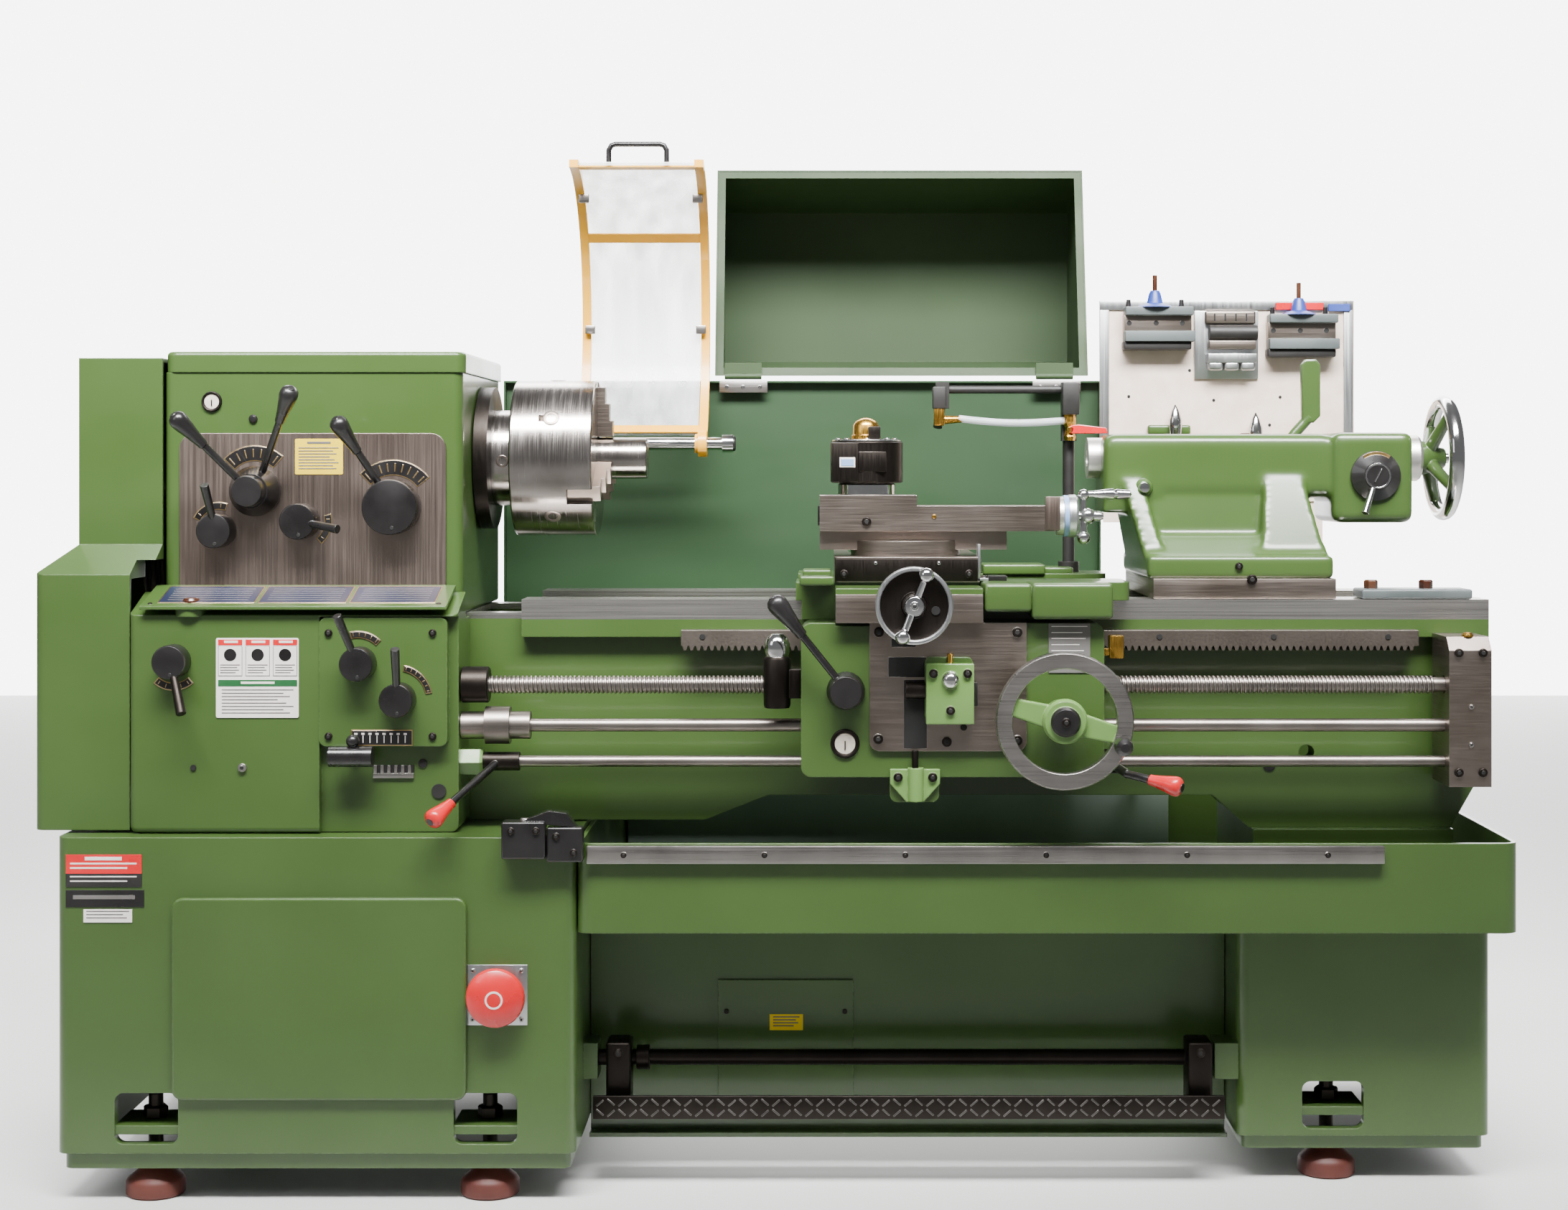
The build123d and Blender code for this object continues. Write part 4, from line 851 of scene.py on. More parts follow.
pointer = place("tailstock_speed_knob", dial_parts, "tailstock_knob", "black_plastic")
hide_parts("tailstock_knob")
print("tailstock fittings:", len(fittings), "parts, knob:", len(dial_parts))

# %% [markdown]
# ## Hand wheels
# The tailstock wheel has a polished round rim, cast spokes and a hub, all in machine green but the rim.
# Wheels on the carriage are flatter: a machined rim with two broad spokes, and a steel ring with a dark
# dished disc behind a ball-ended bar. A rim is a small circle spun about the axle, so it is turned too.

# %% Tailstock wheel
def rim_profile(reach, thick, wide, at=0.0, count=14):
    """A closed oval profile for a wheel rim: reach is the outer radius, at its place on the axle."""
    turns = [math.tau * i / count for i in range(count + 1)]
    return [(at + wide / 2 * math.sin(t), reach - thick / 2 + thick / 2 * math.cos(t)) for t in turns]


AXLE = (0.0, -140.0, 1010.0)
ALONG = (1.0, 0.0, 0.0)
wheel = [turned(rim_profile(92.0, 20.0, 22.0), (984.0, AXLE[1], AXLE[2]), ALONG, CHROME, 72)]
hub = [(0.0, 0.0), (0.0, 34.0), (20.0, 34.0), (24.0, 31.0), (24.0, 0.0)]
wheel.append(turned(hub, (924.0, AXLE[1], AXLE[2]), ALONG, GROUND, 48))
nose = [(0.0, 0.0), (0.0, 26.0), (10.0, 24.0), (26.0, 17.0), (36.0, 15.0), (38.0, 13.0), (38.0, 0.0)]
wheel.append(turned(nose, (948.0, AXLE[1], AXLE[2]), ALONG, GREEN, 40))
for angle in (35.0, 125.0, 215.0, 305.0):
    up = math.radians(angle)
    out = (math.cos(up), math.sin(up))
    near = (962.0, AXLE[1] + 14.0 * out[0], AXLE[2] + 14.0 * out[1])
    far = (983.0, AXLE[1] + 78.0 * out[0], AXLE[2] + 78.0 * out[1])
    wheel.append(rod(near, far, 10.0, GREEN, 7.5))
wheel += socket_screw((986.0, AXLE[1], AXLE[2]), ALONG, 8.0, CHROME)
back_wheel = place("tailstock_wheel", wheel, "tailstock_handwheel", "chrome")
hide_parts("tailstock_handwheel")
print("tailstock wheel faces:", len(back_wheel.data.polygons))

# %% Apron wheel
APRON_WHEEL = (391.0, 658.0)
flat_rim = [(-10.0, 71.0), (-9.0, 70.0), (9.0, 70.0), (10.0, 71.0), (10.0, 90.0), (7.0, 92.0),
    (-7.0, 92.0), (-10.0, 90.0), (-10.0, 71.0)]
wheel = [turned(flat_rim, (APRON_WHEEL[0], -490.0, APRON_WHEEL[1]), FRONT, STAINLESS, 80)]
tilt = math.radians(-15.0)
for side in (1, -1):
    outline = []
    for along, half in ((12.0, 17.0), (76.0, 12.0), (76.0, -12.0), (12.0, -17.0)):
        x = side * along * math.cos(tilt) - half * math.sin(tilt)
        z = side * along * math.sin(tilt) + half * math.cos(tilt)
        outline.append((APRON_WHEEL[0] + x, -484.0, APRON_WHEEL[1] + z))
    wheel.append(plate(outline, (0.0, -11.0, 0.0), PALE_GREEN, 3.0))
boss = [(0.0, 0.0), (0.0, 24.0), (52.0, 24.0), (56.0, 30.0), (64.0, 30.0), (68.0, 27.0), (68.0, 0.0)]
wheel.append(turned(boss, (APRON_WHEEL[0], -437.0, APRON_WHEEL[1]), FRONT, PALE_GREEN, 48))
cap = [(0.0, 0.0), (0.0, 20.0), (6.0, 20.0), (10.0, 17.0), (11.0, 12.0), (11.0, 0.0)]
wheel.append(turned(cap, (APRON_WHEEL[0], -504.0, APRON_WHEEL[1]), FRONT, BLACK, 40))
wheel += socket_screw((APRON_WHEEL[0], -514.0, APRON_WHEEL[1]), FRONT, 6.0)
knob_spot = (APRON_WHEEL[0] + 80.0 * math.cos(math.radians(-22.0)), -499.0,
    APRON_WHEEL[1] + 80.0 * math.sin(math.radians(-22.0)))
handle = [(0.0, 0.0), (0.0, 7.0), (4.0, 7.0), (10.0, 10.5), (30.0, 12.5), (44.0, 11.0), (50.0, 6.0),
    (51.0, 0.0)]
wheel.append(turned(handle, knob_spot, FRONT, BLACK, 32))
travel_wheel = place("apron_wheel", wheel, "apron_handwheel", "ground_steel")
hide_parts("apron_handwheel")
print("apron wheel parts:", len(wheel))

# %% Cross slide wheel
CROSS_WHEEL = (191.0, 811.0)
ring = [(-8.0, 46.0), (8.0, 46.0), (9.5, 47.5), (9.5, 50.5), (8.0, 52.0), (-8.0, 52.0), (-9.5, 50.5),
    (-9.5, 47.5), (-8.0, 46.0)]
wheel = [turned(ring, (CROSS_WHEEL[0], -478.0, CROSS_WHEEL[1]), FRONT, ALUMINIUM, 72)]
dish = [(0.0, 0.0), (0.0, 46.4), (6.0, 46.4), (4.0, 40.0), (4.0, 18.0), (14.0, 16.0), (14.0, 0.0)]
wheel.append(turned(dish, (CROSS_WHEEL[0], -472.0, CROSS_WHEEL[1]), FRONT, BLACK_OXIDE, 64))
neck = [(0.0, 0.0), (0.0, 24.0), (52.0, 24.0), (54.0, 21.0), (86.0, 18.0), (86.0, 0.0)]
wheel.append(turned(neck, (CROSS_WHEEL[0], -386.0, CROSS_WHEEL[1]), FRONT, GROUND, 48))
hub = [(0.0, 0.0), (0.0, 14.0), (8.0, 14.0), (11.0, 12.0), (12.0, 6.0), (12.0, 0.0)]
wheel.append(turned(hub, (CROSS_WHEEL[0], -485.0, CROSS_WHEEL[1]), FRONT, CHROME, 40))
wheel += socket_screw((CROSS_WHEEL[0], -496.0, CROSS_WHEEL[1]), FRONT, 6.0, CHROME)
lean = math.radians(69.0)
for side in (1.0, -1.0):
    near = (CROSS_WHEEL[0] + side * 10.0 * math.cos(lean), -489.0,
        CROSS_WHEEL[1] + side * 10.0 * math.sin(lean))
    far = (CROSS_WHEEL[0] + side * 44.0 * math.cos(lean), -494.0,
        CROSS_WHEEL[1] + side * 44.0 * math.sin(lean))
    wheel.append(rod(near, far, 5.6, CHROME, 4.4))
    ball = [(10.5 * (1 - math.cos(math.pi * i / 12)), 10.5 * math.sin(math.pi * i / 12)) for i in range(13)]
    wheel.append(turned(ball, (far[0], far[1] + 10.5, far[2]), FRONT, CHROME, 28))
# A dark disc of painted shade stands for a hole in the dish.
wheel.append(turned([(0.0, 0.0), (0.0, 6.0), (1.0, 6.0), (1.0, 0.0)],
    (CROSS_WHEEL[0] + 29.0, -476.5, CROSS_WHEEL[1] - 7.0), FRONT, HOLE_SHADE_AND_MARK, 24))
cross_wheel = place("cross_slide_wheel", wheel, "cross_handwheel", "ground_steel")
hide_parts("cross_handwheel")
print("cross slide wheel parts:", len(wheel))

# %% [markdown]
# ## Compound crank, dial and tool post
# The small crank on the compound slide is a chrome bar with balls at its ends and a tapered handle. Its
# graduated collar carries a pale blue band. The tool post is a round quick-change block: a turned body
# with a flat dovetail face, a bright neck and a brass nut on top that locks it.

# %% Compound crank and dial
def ball_at(spot, radius, material):
    """A ball, turned from a half circle."""
    half = [(radius * (1 - math.cos(math.pi * i / 12)),
        radius * math.sin(math.pi * i / 12)) for i in range(13)]
    return turned(half, (spot[0] - radius, spot[1], spot[2]), ALONG, material, 28)


CRANK = (430.0, -265.0, 927.0)
crank = [rod((400.0, -265.0, 927.0), (452.0, -265.0, 927.0), 6.0, CHROME)]
crank.append(ball_at((446.0, -265.0, 927.0), 11.5, CHROME))
crank.append(rod((440.0, -265.0, 955.0), (440.0, -265.0, 897.0), 5.0, CHROME))
crank += [ball_at((440.0, -265.0, 957.0), 8.5, CHROME), ball_at((440.0, -265.0, 896.0), 9.5, CHROME)]
handle = [(0.0, 0.0), (0.0, 4.5), (10.0, 5.0), (30.0, 8.0), (36.0, 8.5), (38.0, 6.0), (42.0, 8.0),
    (60.0, 6.0), (63.0, 0.0)]
crank.append(turned(handle, (446.0, -265.0, 958.0), ALONG, CHROME, 28))
nose = [(0.0, 0.0), (0.0, 7.5), (12.0, 7.5), (18.0, 5.0), (19.0, 0.0)]
crank.append(turned(nose, (450.0, -265.0, 927.0), ALONG, CHROME, 24))
small_crank = place("compound_ball_crank", crank, "compound_crank", "chrome")
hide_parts("compound_crank")
collar = [turned([(0.0, 0.0), (0.0, 27.0), (9.0, 28.0), (10.0, 28.0), (10.0, 0.0)],
    (401.2, -265.0, 927.0), ALONG, GROUND, 56)]
collar.append(turned([(0.0, 0.0), (0.0, 29.5), (7.0, 29.5), (7.0, 0.0)], (411.0, -265.0, 927.0), ALONG,
    DIAL_BLUE, 56))
collar.append(turned([(0.0, 0.0), (0.0, 30.0), (3.0, 30.5), (10.0, 30.5), (13.0, 28.0), (13.0, 0.0)],
    (418.0, -265.0, 927.0), ALONG, ALUMINIUM, 56))
place("compound_dial", collar, "top_slide", "ground_steel")
print("crank parts:", len(crank), "collar parts:", len(collar))

# %% Tool post
POST = (131.0, -265.0)
neck = [(0.0, 0.0), (0.0, 41.0), (14.0, 41.0), (18.0, 37.0), (18.0, 0.0)]
post = [turned(neck, (POST[0], POST[1], 957.4), (0.0, 0.0, 1.0), CHROME, 56)]
drum = [(0.0, 0.0), (0.0, 49.0), (2.0, 51.5), (57.0, 51.5), (60.0, 48.5), (60.0, 0.0)]
post.append(turned(drum, (POST[0], POST[1], 974.0), (0.0, 0.0, 1.0), BLACK_OXIDE, 72))
cap = [(0.0, 0.0), (0.0, 50.0), (1.6, 50.0), (3.0, 46.0), (3.0, 0.0)]
post.append(turned(cap, (POST[0], POST[1], 1033.2), (0.0, 0.0, 1.0), CHROME, 56))
post.append(block((POST[0] - 12.0, POST[0] + 27.0), (-317.0, -262.0), (990.0, 1018.0), BLACK_OXIDE, 1.0, 2))
post.append(block((POST[0] - 50.0, POST[0] - 12.5), (-317.0, -280.0), (976.0, 1031.0), BLACK_OXIDE, 1.5, 2))
post.append(block((POST[0] - 39.0, POST[0] - 17.0), (-318.0, -316.6), (996.0, 1010.0), WHITE, 0.3, 1))
post.append(block((POST[0] - 37.0, POST[0] - 19.0), (-318.6, -317.6), (998.0, 1008.0), DIAL_BLUE, 0.3, 1))
nut = [(0.0, 0.0), (0.0, 21.0), (6.0, 21.0), (7.0, 19.0), (20.0, 18.5), (26.0, 15.0), (30.0, 8.0),
    (31.5, 0.0)]
post.append(turned(nut, (POST[0] - 1.0, POST[1], 1035.8), (0.0, 0.0, 1.0), BRASS, 24))
post.append(block((POST[0] + 2.0, POST[0] + 19.0), (-290.0, -278.0), (1036.0, 1054.0), BLACK_OXIDE, 1.0, 2))
for angle in range(0, 360, 45):
    spot = (POST[0] + 40.0 * math.cos(math.radians(angle)),
        POST[1] + 40.0 * math.sin(math.radians(angle)), 1035.5)
    post.append(turned([(0.0, 0.0), (0.0, 4.0), (2.0, 3.6), (3.0, 0.0)], spot, (0.0, 0.0, 1.0), CHROME, 16))
quick_post = place("quick_change_post", post, "tool_post", "black_oxide")
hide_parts("tool_post")
print("tool post parts:", len(post))

# %% [markdown]
# ## The lead screw thread
# The lead screw turns the carriage along for thread cutting, so its thread is a real helix. One tooth
# of the profile is drawn, and a screw modifier sweeps it round the axis while it advances by one pitch
# for each turn. The plain journal and the black coupling are turned parts.

# %% Lead screw
PITCH = 6.0
TURNS = 217
ROD_Y = -370.0
SCREW_Z = 696.0
tooth = [(0.0, 0.0, 10.2), (1.6, 0.0, 10.2), (2.5, 0.0, 12.5), (4.9, 0.0, 12.5), (6.0, 0.0, 10.2)]
thread = trace(tooth)
only(thread)
sweep = thread.modifiers.new("helix", "SCREW")
sweep.axis = "X"
sweep.angle = math.tau
sweep.screw_offset = PITCH * MM
sweep.steps = 18
sweep.render_steps = 18
sweep.iterations = TURNS
sweep.use_merge_vertices = True
bpy.ops.object.modifier_apply(modifier=sweep.name)
thread.location = in_metres((-392.0, ROD_Y, SCREW_Z))
settle(thread)
paint(thread, ROD_STEEL)
journal = rod((-392.0 + PITCH * TURNS, ROD_Y, SCREW_Z), (970.0, ROD_Y, SCREW_Z), 10.4, ROD_STEEL)
core = rod((-460.0, ROD_Y, SCREW_Z), (-386.0, ROD_Y, SCREW_Z), 11.0, ROD_STEEL)
coupling = [(0.0, 0.0), (0.0, 23.0), (1.5, 25.0), (36.0, 25.0), (38.0, 23.0), (38.0, 0.0)]
bush = turned(coupling, (-430.0, ROD_Y, SCREW_Z), ALONG, BLACK_OXIDE, 48)
screw = place("lead_screw_thread", [thread, journal, core, bush], "leadscrew", "ground_steel")
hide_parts("leadscrew")
print("lead screw: pitch", PITCH, "mm,", TURNS, "turns,", len(screw.data.polygons), "faces")

# %% [markdown]
# ## Feed gearbox front
# On top lies a sloping chart plate with three dark panels. Below are a square cover held by four screws, an oil
# filler with a brown cap, a steel comb that the plunger drops into, with a dark strip of painted shade for the
# gaps between its teeth, and a few plugged holes drawn as dark discs of painted shade. Where the rods leave the
# box there is a six-sided boss.

# %% Chart plate and filler
def sloped(x, near, far, lift, thick, material):
    """A flat plate on the gearbox top. near and far run from 0 at its front edge to 1 at its back edge."""
    front_edge = (-421.0, 802.0)
    back_edge = (-333.5, 827.0)

    def at(share):
        y = front_edge[0] + (back_edge[0] - front_edge[0]) * share
        z = front_edge[1] + (back_edge[1] - front_edge[1]) * share + lift
        return y, z

    (y0, z0), (y1, z1) = at(near), at(far)
    outline = [(x[0], y0, z0), (x[1], y0, z0), (x[1], y1, z1), (x[0], y1, z1)]
    return plate(outline, (0.0, 0.0, thick), material, 0.5)


chart = [sloped((-862.0, -444.0), 0.0, 1.0, 0.0, 5.0, GREEN)]
for left, right in ((-838.0, -711.0), (-701.0, -586.0), (-576.0, -464.0)):
    chart.append(sloped((left - 3.0, right + 3.0), 0.14, 0.92, 5.0, 0.5, GOLD))
    chart.append(sloped((left - 1.6, right + 1.6), 0.17, 0.89, 5.4, 0.5, NAVY))
    for row in range(6):
        share = 0.26 + row * 0.1
        chart.append(sloped((left + 8.0, right - 8.0), share, share + 0.018, 5.8, 0.3, PRINT_GREY))
for x in (-850.0, -456.0):
    chart.append(turned([(0.0, 0.0), (0.0, 3.5), (1.2, 3.0), (1.5, 0.0)], (x, -411.0, 809.5),
        (0.0, -0.27, 0.96), BLACK_OXIDE, 20))
place("speed_chart_plate", chart, "machine", "black_plastic")
boss = [(0.0, 0.0), (0.0, 22.0), (14.0, 22.0), (16.0, 20.0), (16.0, 0.0)]
filler = [turned(boss, (-797.0, -397.0, 792.0), (0.0, 0.0, 1.0), GREEN, 40)]
cap = [(0.0, 0.0), (0.0, 12.0), (6.0, 12.0), (9.0, 10.0), (10.0, 6.0), (10.0, 0.0)]
filler.append(turned(cap, (-797.0, -397.0, 807.5), (0.0, 0.0, 1.0), BROWN, 32))
place("gearbox_filler", filler, "machine", "black_plastic")
print("chart plate and filler made")

# %% Gearbox hardware
hardware = screw_ring([(x, -411.5, z) for x in (-606.0, -464.0) for z in (770.0, 629.0)], FRONT, 5.2)
# Dark discs of painted shade stand for three holes.
for x, z, radius in ((-791.0, 586.0, 4.0), (-480.0, 590.0, 6.0), (-458.0, 552.0, 10.0)):
    hole = [(0.0, 0.0), (0.0, radius), (1.0, radius), (1.0, radius * 0.8), (0.4, 0.0)]
    hardware.append(turned(hole, (x, -411.0 if x < -600.0 else -396.0, z), FRONT, HOLE_SHADE_AND_MARK, 28))
hardware += screw_ring([(-724.0, -410.0, 586.0)], FRONT, 6.0, STAINLESS)
hardware.append(block((-548.0, -492.0), (-399.0, -394.0), (570.0, 577.0), STAINLESS, 0.6, 2))
# A dark strip of painted shade fills the gaps between the comb's teeth.
hardware.append(block((-548.0, -492.0), (-397.0, -394.0), (577.0, 588.0), HOLE_SHADE_AND_MARK, 0.4, 1))
for index in range(6):
    left = -547.0 + index * 9.4
    hardware.append(block((left, left + 4.6), (-400.0, -394.5), (576.0, 588.0), STAINLESS, 0.8, 2))
place("gearbox_hardware", hardware, "machine", "ground_steel")
six = [(0.0, 0.0), (0.0, 20.0), (28.0, 20.0), (32.0, 17.0), (32.0, 0.0)]
place("control_rod_boss", [turned(six, (-432.0, ROD_Y, 590.0), ALONG, PALE_GREEN, 6)], "machine",
    "green_enamel")
latch = [block((-1016.0, -1009.0), (-270.0, -246.0), (712.0, 748.0), BLACK, 2.0, 3)]
place("gear_cover_latch", latch, "gear_cover", "black_plastic")
print("gearbox hardware parts:", len(hardware))

# %% Headstock oil sight and plug
def oil_sight(centre, y, radius, body, slot):
    """A round oil window: a dark ring, a pale glass and a small mark."""
    ring = [(0.0, radius * 0.72), (2.0, radius * 0.72), (3.4, radius * 0.84), (3.4, radius * 0.94),
        (0.0, radius)]
    parts = [turned(ring + ring[:1], (centre[0], y, centre[1]), FRONT, BLACK_OXIDE, 40)]
    lens = [(0.0, 0.0), (0.0, radius * 0.74), (1.2, radius * 0.7), (1.8, 0.0)]
    parts.append(turned(lens, (centre[0], y, centre[1]), FRONT, GLASS, 40))
    back = [(0.0, 0.0), (0.0, radius * 0.73), (0.4, radius * 0.73), (0.4, 0.0)]
    parts.append(turned(back, (centre[0], y + 0.2, centre[1]), FRONT, BOARD, 40))
    low_end = (centre[0], y - 2.2, centre[1] - radius * 0.45)
    parts.append(rod(low_end, (centre[0], y - 2.2, centre[1] + radius * 0.2), 0.8, HOLE_SHADE_AND_MARK))
    return place("oil_sight_" + body + str(int(abs(centre[0]))), parts, body, slot)


oil_sight((-786.0, 1088.0), -330.3, 14.5, "machine", "ground_steel")
oil_sight((99.0, 620.0), -420.3, 20.0, "carriage", "ground_steel")
plug = [(0.0, 0.0), (0.0, 6.0), (2.0, 6.0), (4.0, 4.0), (4.4, 0.0)]
place("headstock_plug", [turned(plug, (-728.0, -330.3, 1064.0), FRONT, BLACK, 28)], "machine",
    "black_plastic")
print("oil sights: 2")

# %% [markdown]
# ## Chuck details and the workpiece
# The chuck body and its backplate have square key sockets let into their rims, each with a raised
# lip. A short bar is held in the jaws. All of it turns with the spindle, so it rides on the spindle body.

# %% Chuck sockets and workpiece
def key_socket(x, angle_deg, reach, radius):
    """A round lip on the rim of the chuck, at an angle round the spindle, around a flat disc of painted shade
    for its hole.
    """
    angle = math.radians(angle_deg)
    out = (0.0, math.cos(angle), math.sin(angle))
    foot = (x, AXLE[1] + (reach - 2.0) * out[1], AXLE[2] + (reach - 2.0) * out[2])
    lip = [(0.0, radius * 0.6), (2.6, radius * 0.6), (2.6, radius * 0.9), (2.0, radius), (0.0, radius)]
    parts = [turned(lip + lip[:1], foot, out, MILLED, 32)]
    parts.append(turned([(0.0, 0.0), (0.0, radius * 0.61), (1.4, radius * 0.61), (1.4, 0.0)], foot, out,
        HOLE_SHADE_AND_MARK, 4))
    return parts


sockets = []
for angle in (-132.0, -12.0, 90.0, 150.0):
    sockets += key_socket(-322.0, angle, 114.0, 12.0)
for angle in (-176.0, -56.0, 64.0):
    sockets += key_socket(-396.0, angle, 70.0, 9.0)
place("chuck_key_sockets", sockets, "spindle", "black_oxide")
bar = [(0.0, 0.0), (0.0, 30.5), (108.5, 30.5), (110.0, 29.0), (110.0, 4.0), (106.0, 0.0)]
place("workpiece", [turned(bar, (-300.0, AXLE[1], AXLE[2]), ALONG, TURNED, 64)], "spindle", "ground_steel")
print("chuck sockets and bar made")

# %% [markdown]
# ## Carriage front
# The apron carries a milled steel plate with rounded lower corners, two slots drawn as dark strips of painted
# shade, a green block that guides the feed lever, and a pointed bracket below. The saddle has a steel front
# block, and the cross slide ends in a black plate behind the wheel.

# %% Apron plate and feed block
apron_parts = [plate(round_rect((132.0, 346.0), (610.0, 785.0), 14.0, -420.2, (0, 0, 1, 1)),
    (0.0, -6.0, 0.0), MILLED)]
PLATE_FRONT = -426.0
apron_parts += screw_ring([(145.0, PLATE_FRONT, 772.0), (333.0, PLATE_FRONT, 772.0),
    (144.0, PLATE_FRONT, 627.0)], FRONT, 6.8)
apron_parts += screw_ring([(237.0, PLATE_FRONT, 623.0), (333.0, PLATE_FRONT, 625.0)], FRONT, 6.8)
# Dark strips of painted shade stand for the slots in the plate.
apron_parts.append(block((158.0, 209.0), (PLATE_FRONT - 0.6, PLATE_FRONT + 0.2), (711.0, 738.0), HOLE_SHADE_AND_MARK,
    0.3, 1))
apron_parts.append(block((179.0, 210.0), (PLATE_FRONT - 0.6, PLATE_FRONT + 0.2), (614.0, 707.0), HOLE_SHADE_AND_MARK,
    0.3, 1))
apron_parts.append(block((162.0, 195.0), (PLATE_FRONT - 0.6, PLATE_FRONT + 0.2), (752.0, 763.0), HOLE_SHADE_AND_MARK,
    0.3, 1))
apron_parts.append(rod((181.0, -432.0, 694.0), (212.0, -432.0, 694.0), 12.0, BLACK_OXIDE))
apron_parts.append(rod((194.0, -431.0, 612.0), (194.0, -431.0, 584.0), 4.4, BLACK_OXIDE))
apron_parts.append(block((208.0, 273.0), (-452.0, -426.0), (649.0, 731.0), PALE_GREEN, 1.5, 3))
apron_parts.append(block((273.0, 278.0), (-444.0, -432.0), (673.0, 705.0), BLACK, 1.0, 2))
apron_parts += screw_ring([(218.0, -452.0, 718.0), (264.0, -452.0, 718.0), (241.0, -452.0, 668.0)],
    FRONT, 6.0)
dome = [(0.0, 0.0), (0.0, 12.0), (3.0, 11.6), (7.0, 9.0), (9.5, 5.0), (10.2, 0.0)]
apron_parts.append(turned(dome, (241.0, -452.0, 709.0), FRONT, CHROME, 32))
apron_parts.append(rod((241.0, -440.0, 730.0), (241.0, -440.0, 744.0), 4.0, BRASS))
apron_parts += screw_ring([(260.0, -428.0, 643.0)], FRONT, 4.5)
place("apron_feed_plate", apron_parts, "carriage", "ground_steel")

tongue_shape = [(160.0, 586.0), (228.0, 586.0), (228.0, 566.0), (206.0, 541.0), (182.0, 541.0),
    (160.0, 566.0)]
tongue = [plate([(x, -420.2, z) for x, z in tongue_shape], (0.0, -7.0, 0.0), PALE_GREEN, 1.0)]
tongue.append(rod((195.0, -426.0, 588.0), (195.0, -426.0, 542.0), 11.0, PALE_GREEN))
tongue += screw_ring([(171.0, -427.0, 575.0), (218.0, -427.0, 575.0)], FRONT, 6.2)
place("apron_lower_bracket", tongue, "carriage", "green_enamel")
notice = [block((376.0, 433.0), (-421.4, -420.2), (716.0, 784.0), PRINT_GREY, 0.4, 1)]
notice += bars((380.0, 429.0), (722.0, 780.0), 7, -421.2, WHITE, 0.12, RAGGED)
place("apron_chart", notice, "carriage", "black_plastic")
print("apron plate parts:", len(apron_parts))

# %% Half nut lever and control levers
hub = [(0.0, 0.0), (0.0, 26.0), (4.0, 26.0), (8.0, 23.5), (30.0, 23.5), (34.0, 21.0), (34.0, 0.0)]
half_tip = (0.0, -470.0, 822.0)
half_start = (92.0, -444.0, 705.0)
half = [turned(hub, (100.0, -420.5, 692.0), FRONT, BLACK, 48)]
half += [rod(half_start, half_tip, 5.2, BLACK), grip(half_start, half_tip, BLACK, 1.1)]
half_lever = place("half_nut_lever_shape", half, "half_nut_lever", "black_plastic")
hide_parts("half_nut_lever")

red_end = (-456.0, -488.0, 522.0)
left_control = [rod((-460.0, ROD_Y, 590.0), (970.0, ROD_Y, 590.0), 8.0, ROD_STEEL)]
left_control.append(rod((-404.0, ROD_Y, 590.0), (-350.0, ROD_Y, 590.0), 13.0, BLACK_OXIDE))
left_control.append(rod((-380.0, -376.0, 590.0), red_end, 5.5, BLACK))
left_control.append(grip((-380.0, -376.0, 590.0), red_end, RED, 1.05, 46.0))
left = place("control_rod_and_grip", left_control, "control_rod", "red_plastic")
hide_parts("control_rod")

right_end = (549.0, -488.0, 568.0)
right_control = [rod((454.0, ROD_Y, 590.0), (478.0, ROD_Y, 590.0), 17.0, BLACK_OXIDE)]
right_control.append(rod((466.0, -380.0, 588.0), (480.0, -452.0, 582.0), 6.0, BLACK))
right_control.append(rod((478.0, -449.0, 582.5), right_end, 5.5, BLACK, 6.5))
right_control.append(grip((478.0, -449.0, 582.5), right_end, RED, 1.05, 46.0))
right = place("apron_control_grip", right_control, "apron_control_lever", "red_plastic")
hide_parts("apron_control_lever")
print("carriage levers made")

# %% Saddle and cross slide fronts
saddle_parts = [block((86.0, 286.0), (-440.5, -437.0), (785.0, 824.0), MILLED, 0.8, 2)]
saddle_parts.append(block((37.0, 84.0), (-430.0, -345.0), (835.0, 848.0), GREEN, 3.0, 3))
saddle_parts.append(block((41.0, 80.0), (-412.0, -350.0), (847.0, 856.0), GREEN, 2.5, 3))
saddle_parts.append(block((288.0, 352.0), (-440.0, -300.0), (800.0, 838.0), GREEN, 5.0, 4))
saddle_parts.append(block((352.0, 462.0), (-442.0, -330.0), (790.0, 839.0), GREEN, 6.0, 4))
saddle_parts.append(block((310.0, 404.0), (-60.0, 20.0), (834.0, 850.0), GREEN, 3.0, 3))
saddle_parts.append(block((404.0, 448.0), (-40.0, 20.0), (834.0, 845.0), GREEN, 3.0, 3))
place("saddle_blocks", saddle_parts, "carriage", "green_enamel")
slide_parts = [block((86.0, 284.0), (-353.0, -349.0), (838.0, 869.0), BLACK_OXIDE, 0.8, 2)]
slide_parts += screw_ring([(98.0, -352.5, 848.0), (272.0, -352.5, 848.0)], FRONT, 5.5)
slide_parts += screw_ring([(142.0, -352.5, 863.0), (230.0, -352.5, 863.0)], FRONT, 2.6, CHROME)
slide_parts.append(block((284.0, 288.0), (-350.0, -320.0), (838.0, 889.0), ALUMINIUM, 0.8, 2))
slide_parts.append(block((284.0, 299.0), (-350.0, -320.0), (838.0, 842.0), ALUMINIUM, 0.8, 2))
slide_parts += screw_ring([(294.0, -335.0, 842.0)], (0.0, 0.0, 1.0), 4.5, CHROME)
slide_parts.append(block((299.0, 325.0), (-345.0, -318.0), (837.5, 845.0), BLACK, 1.0, 2))
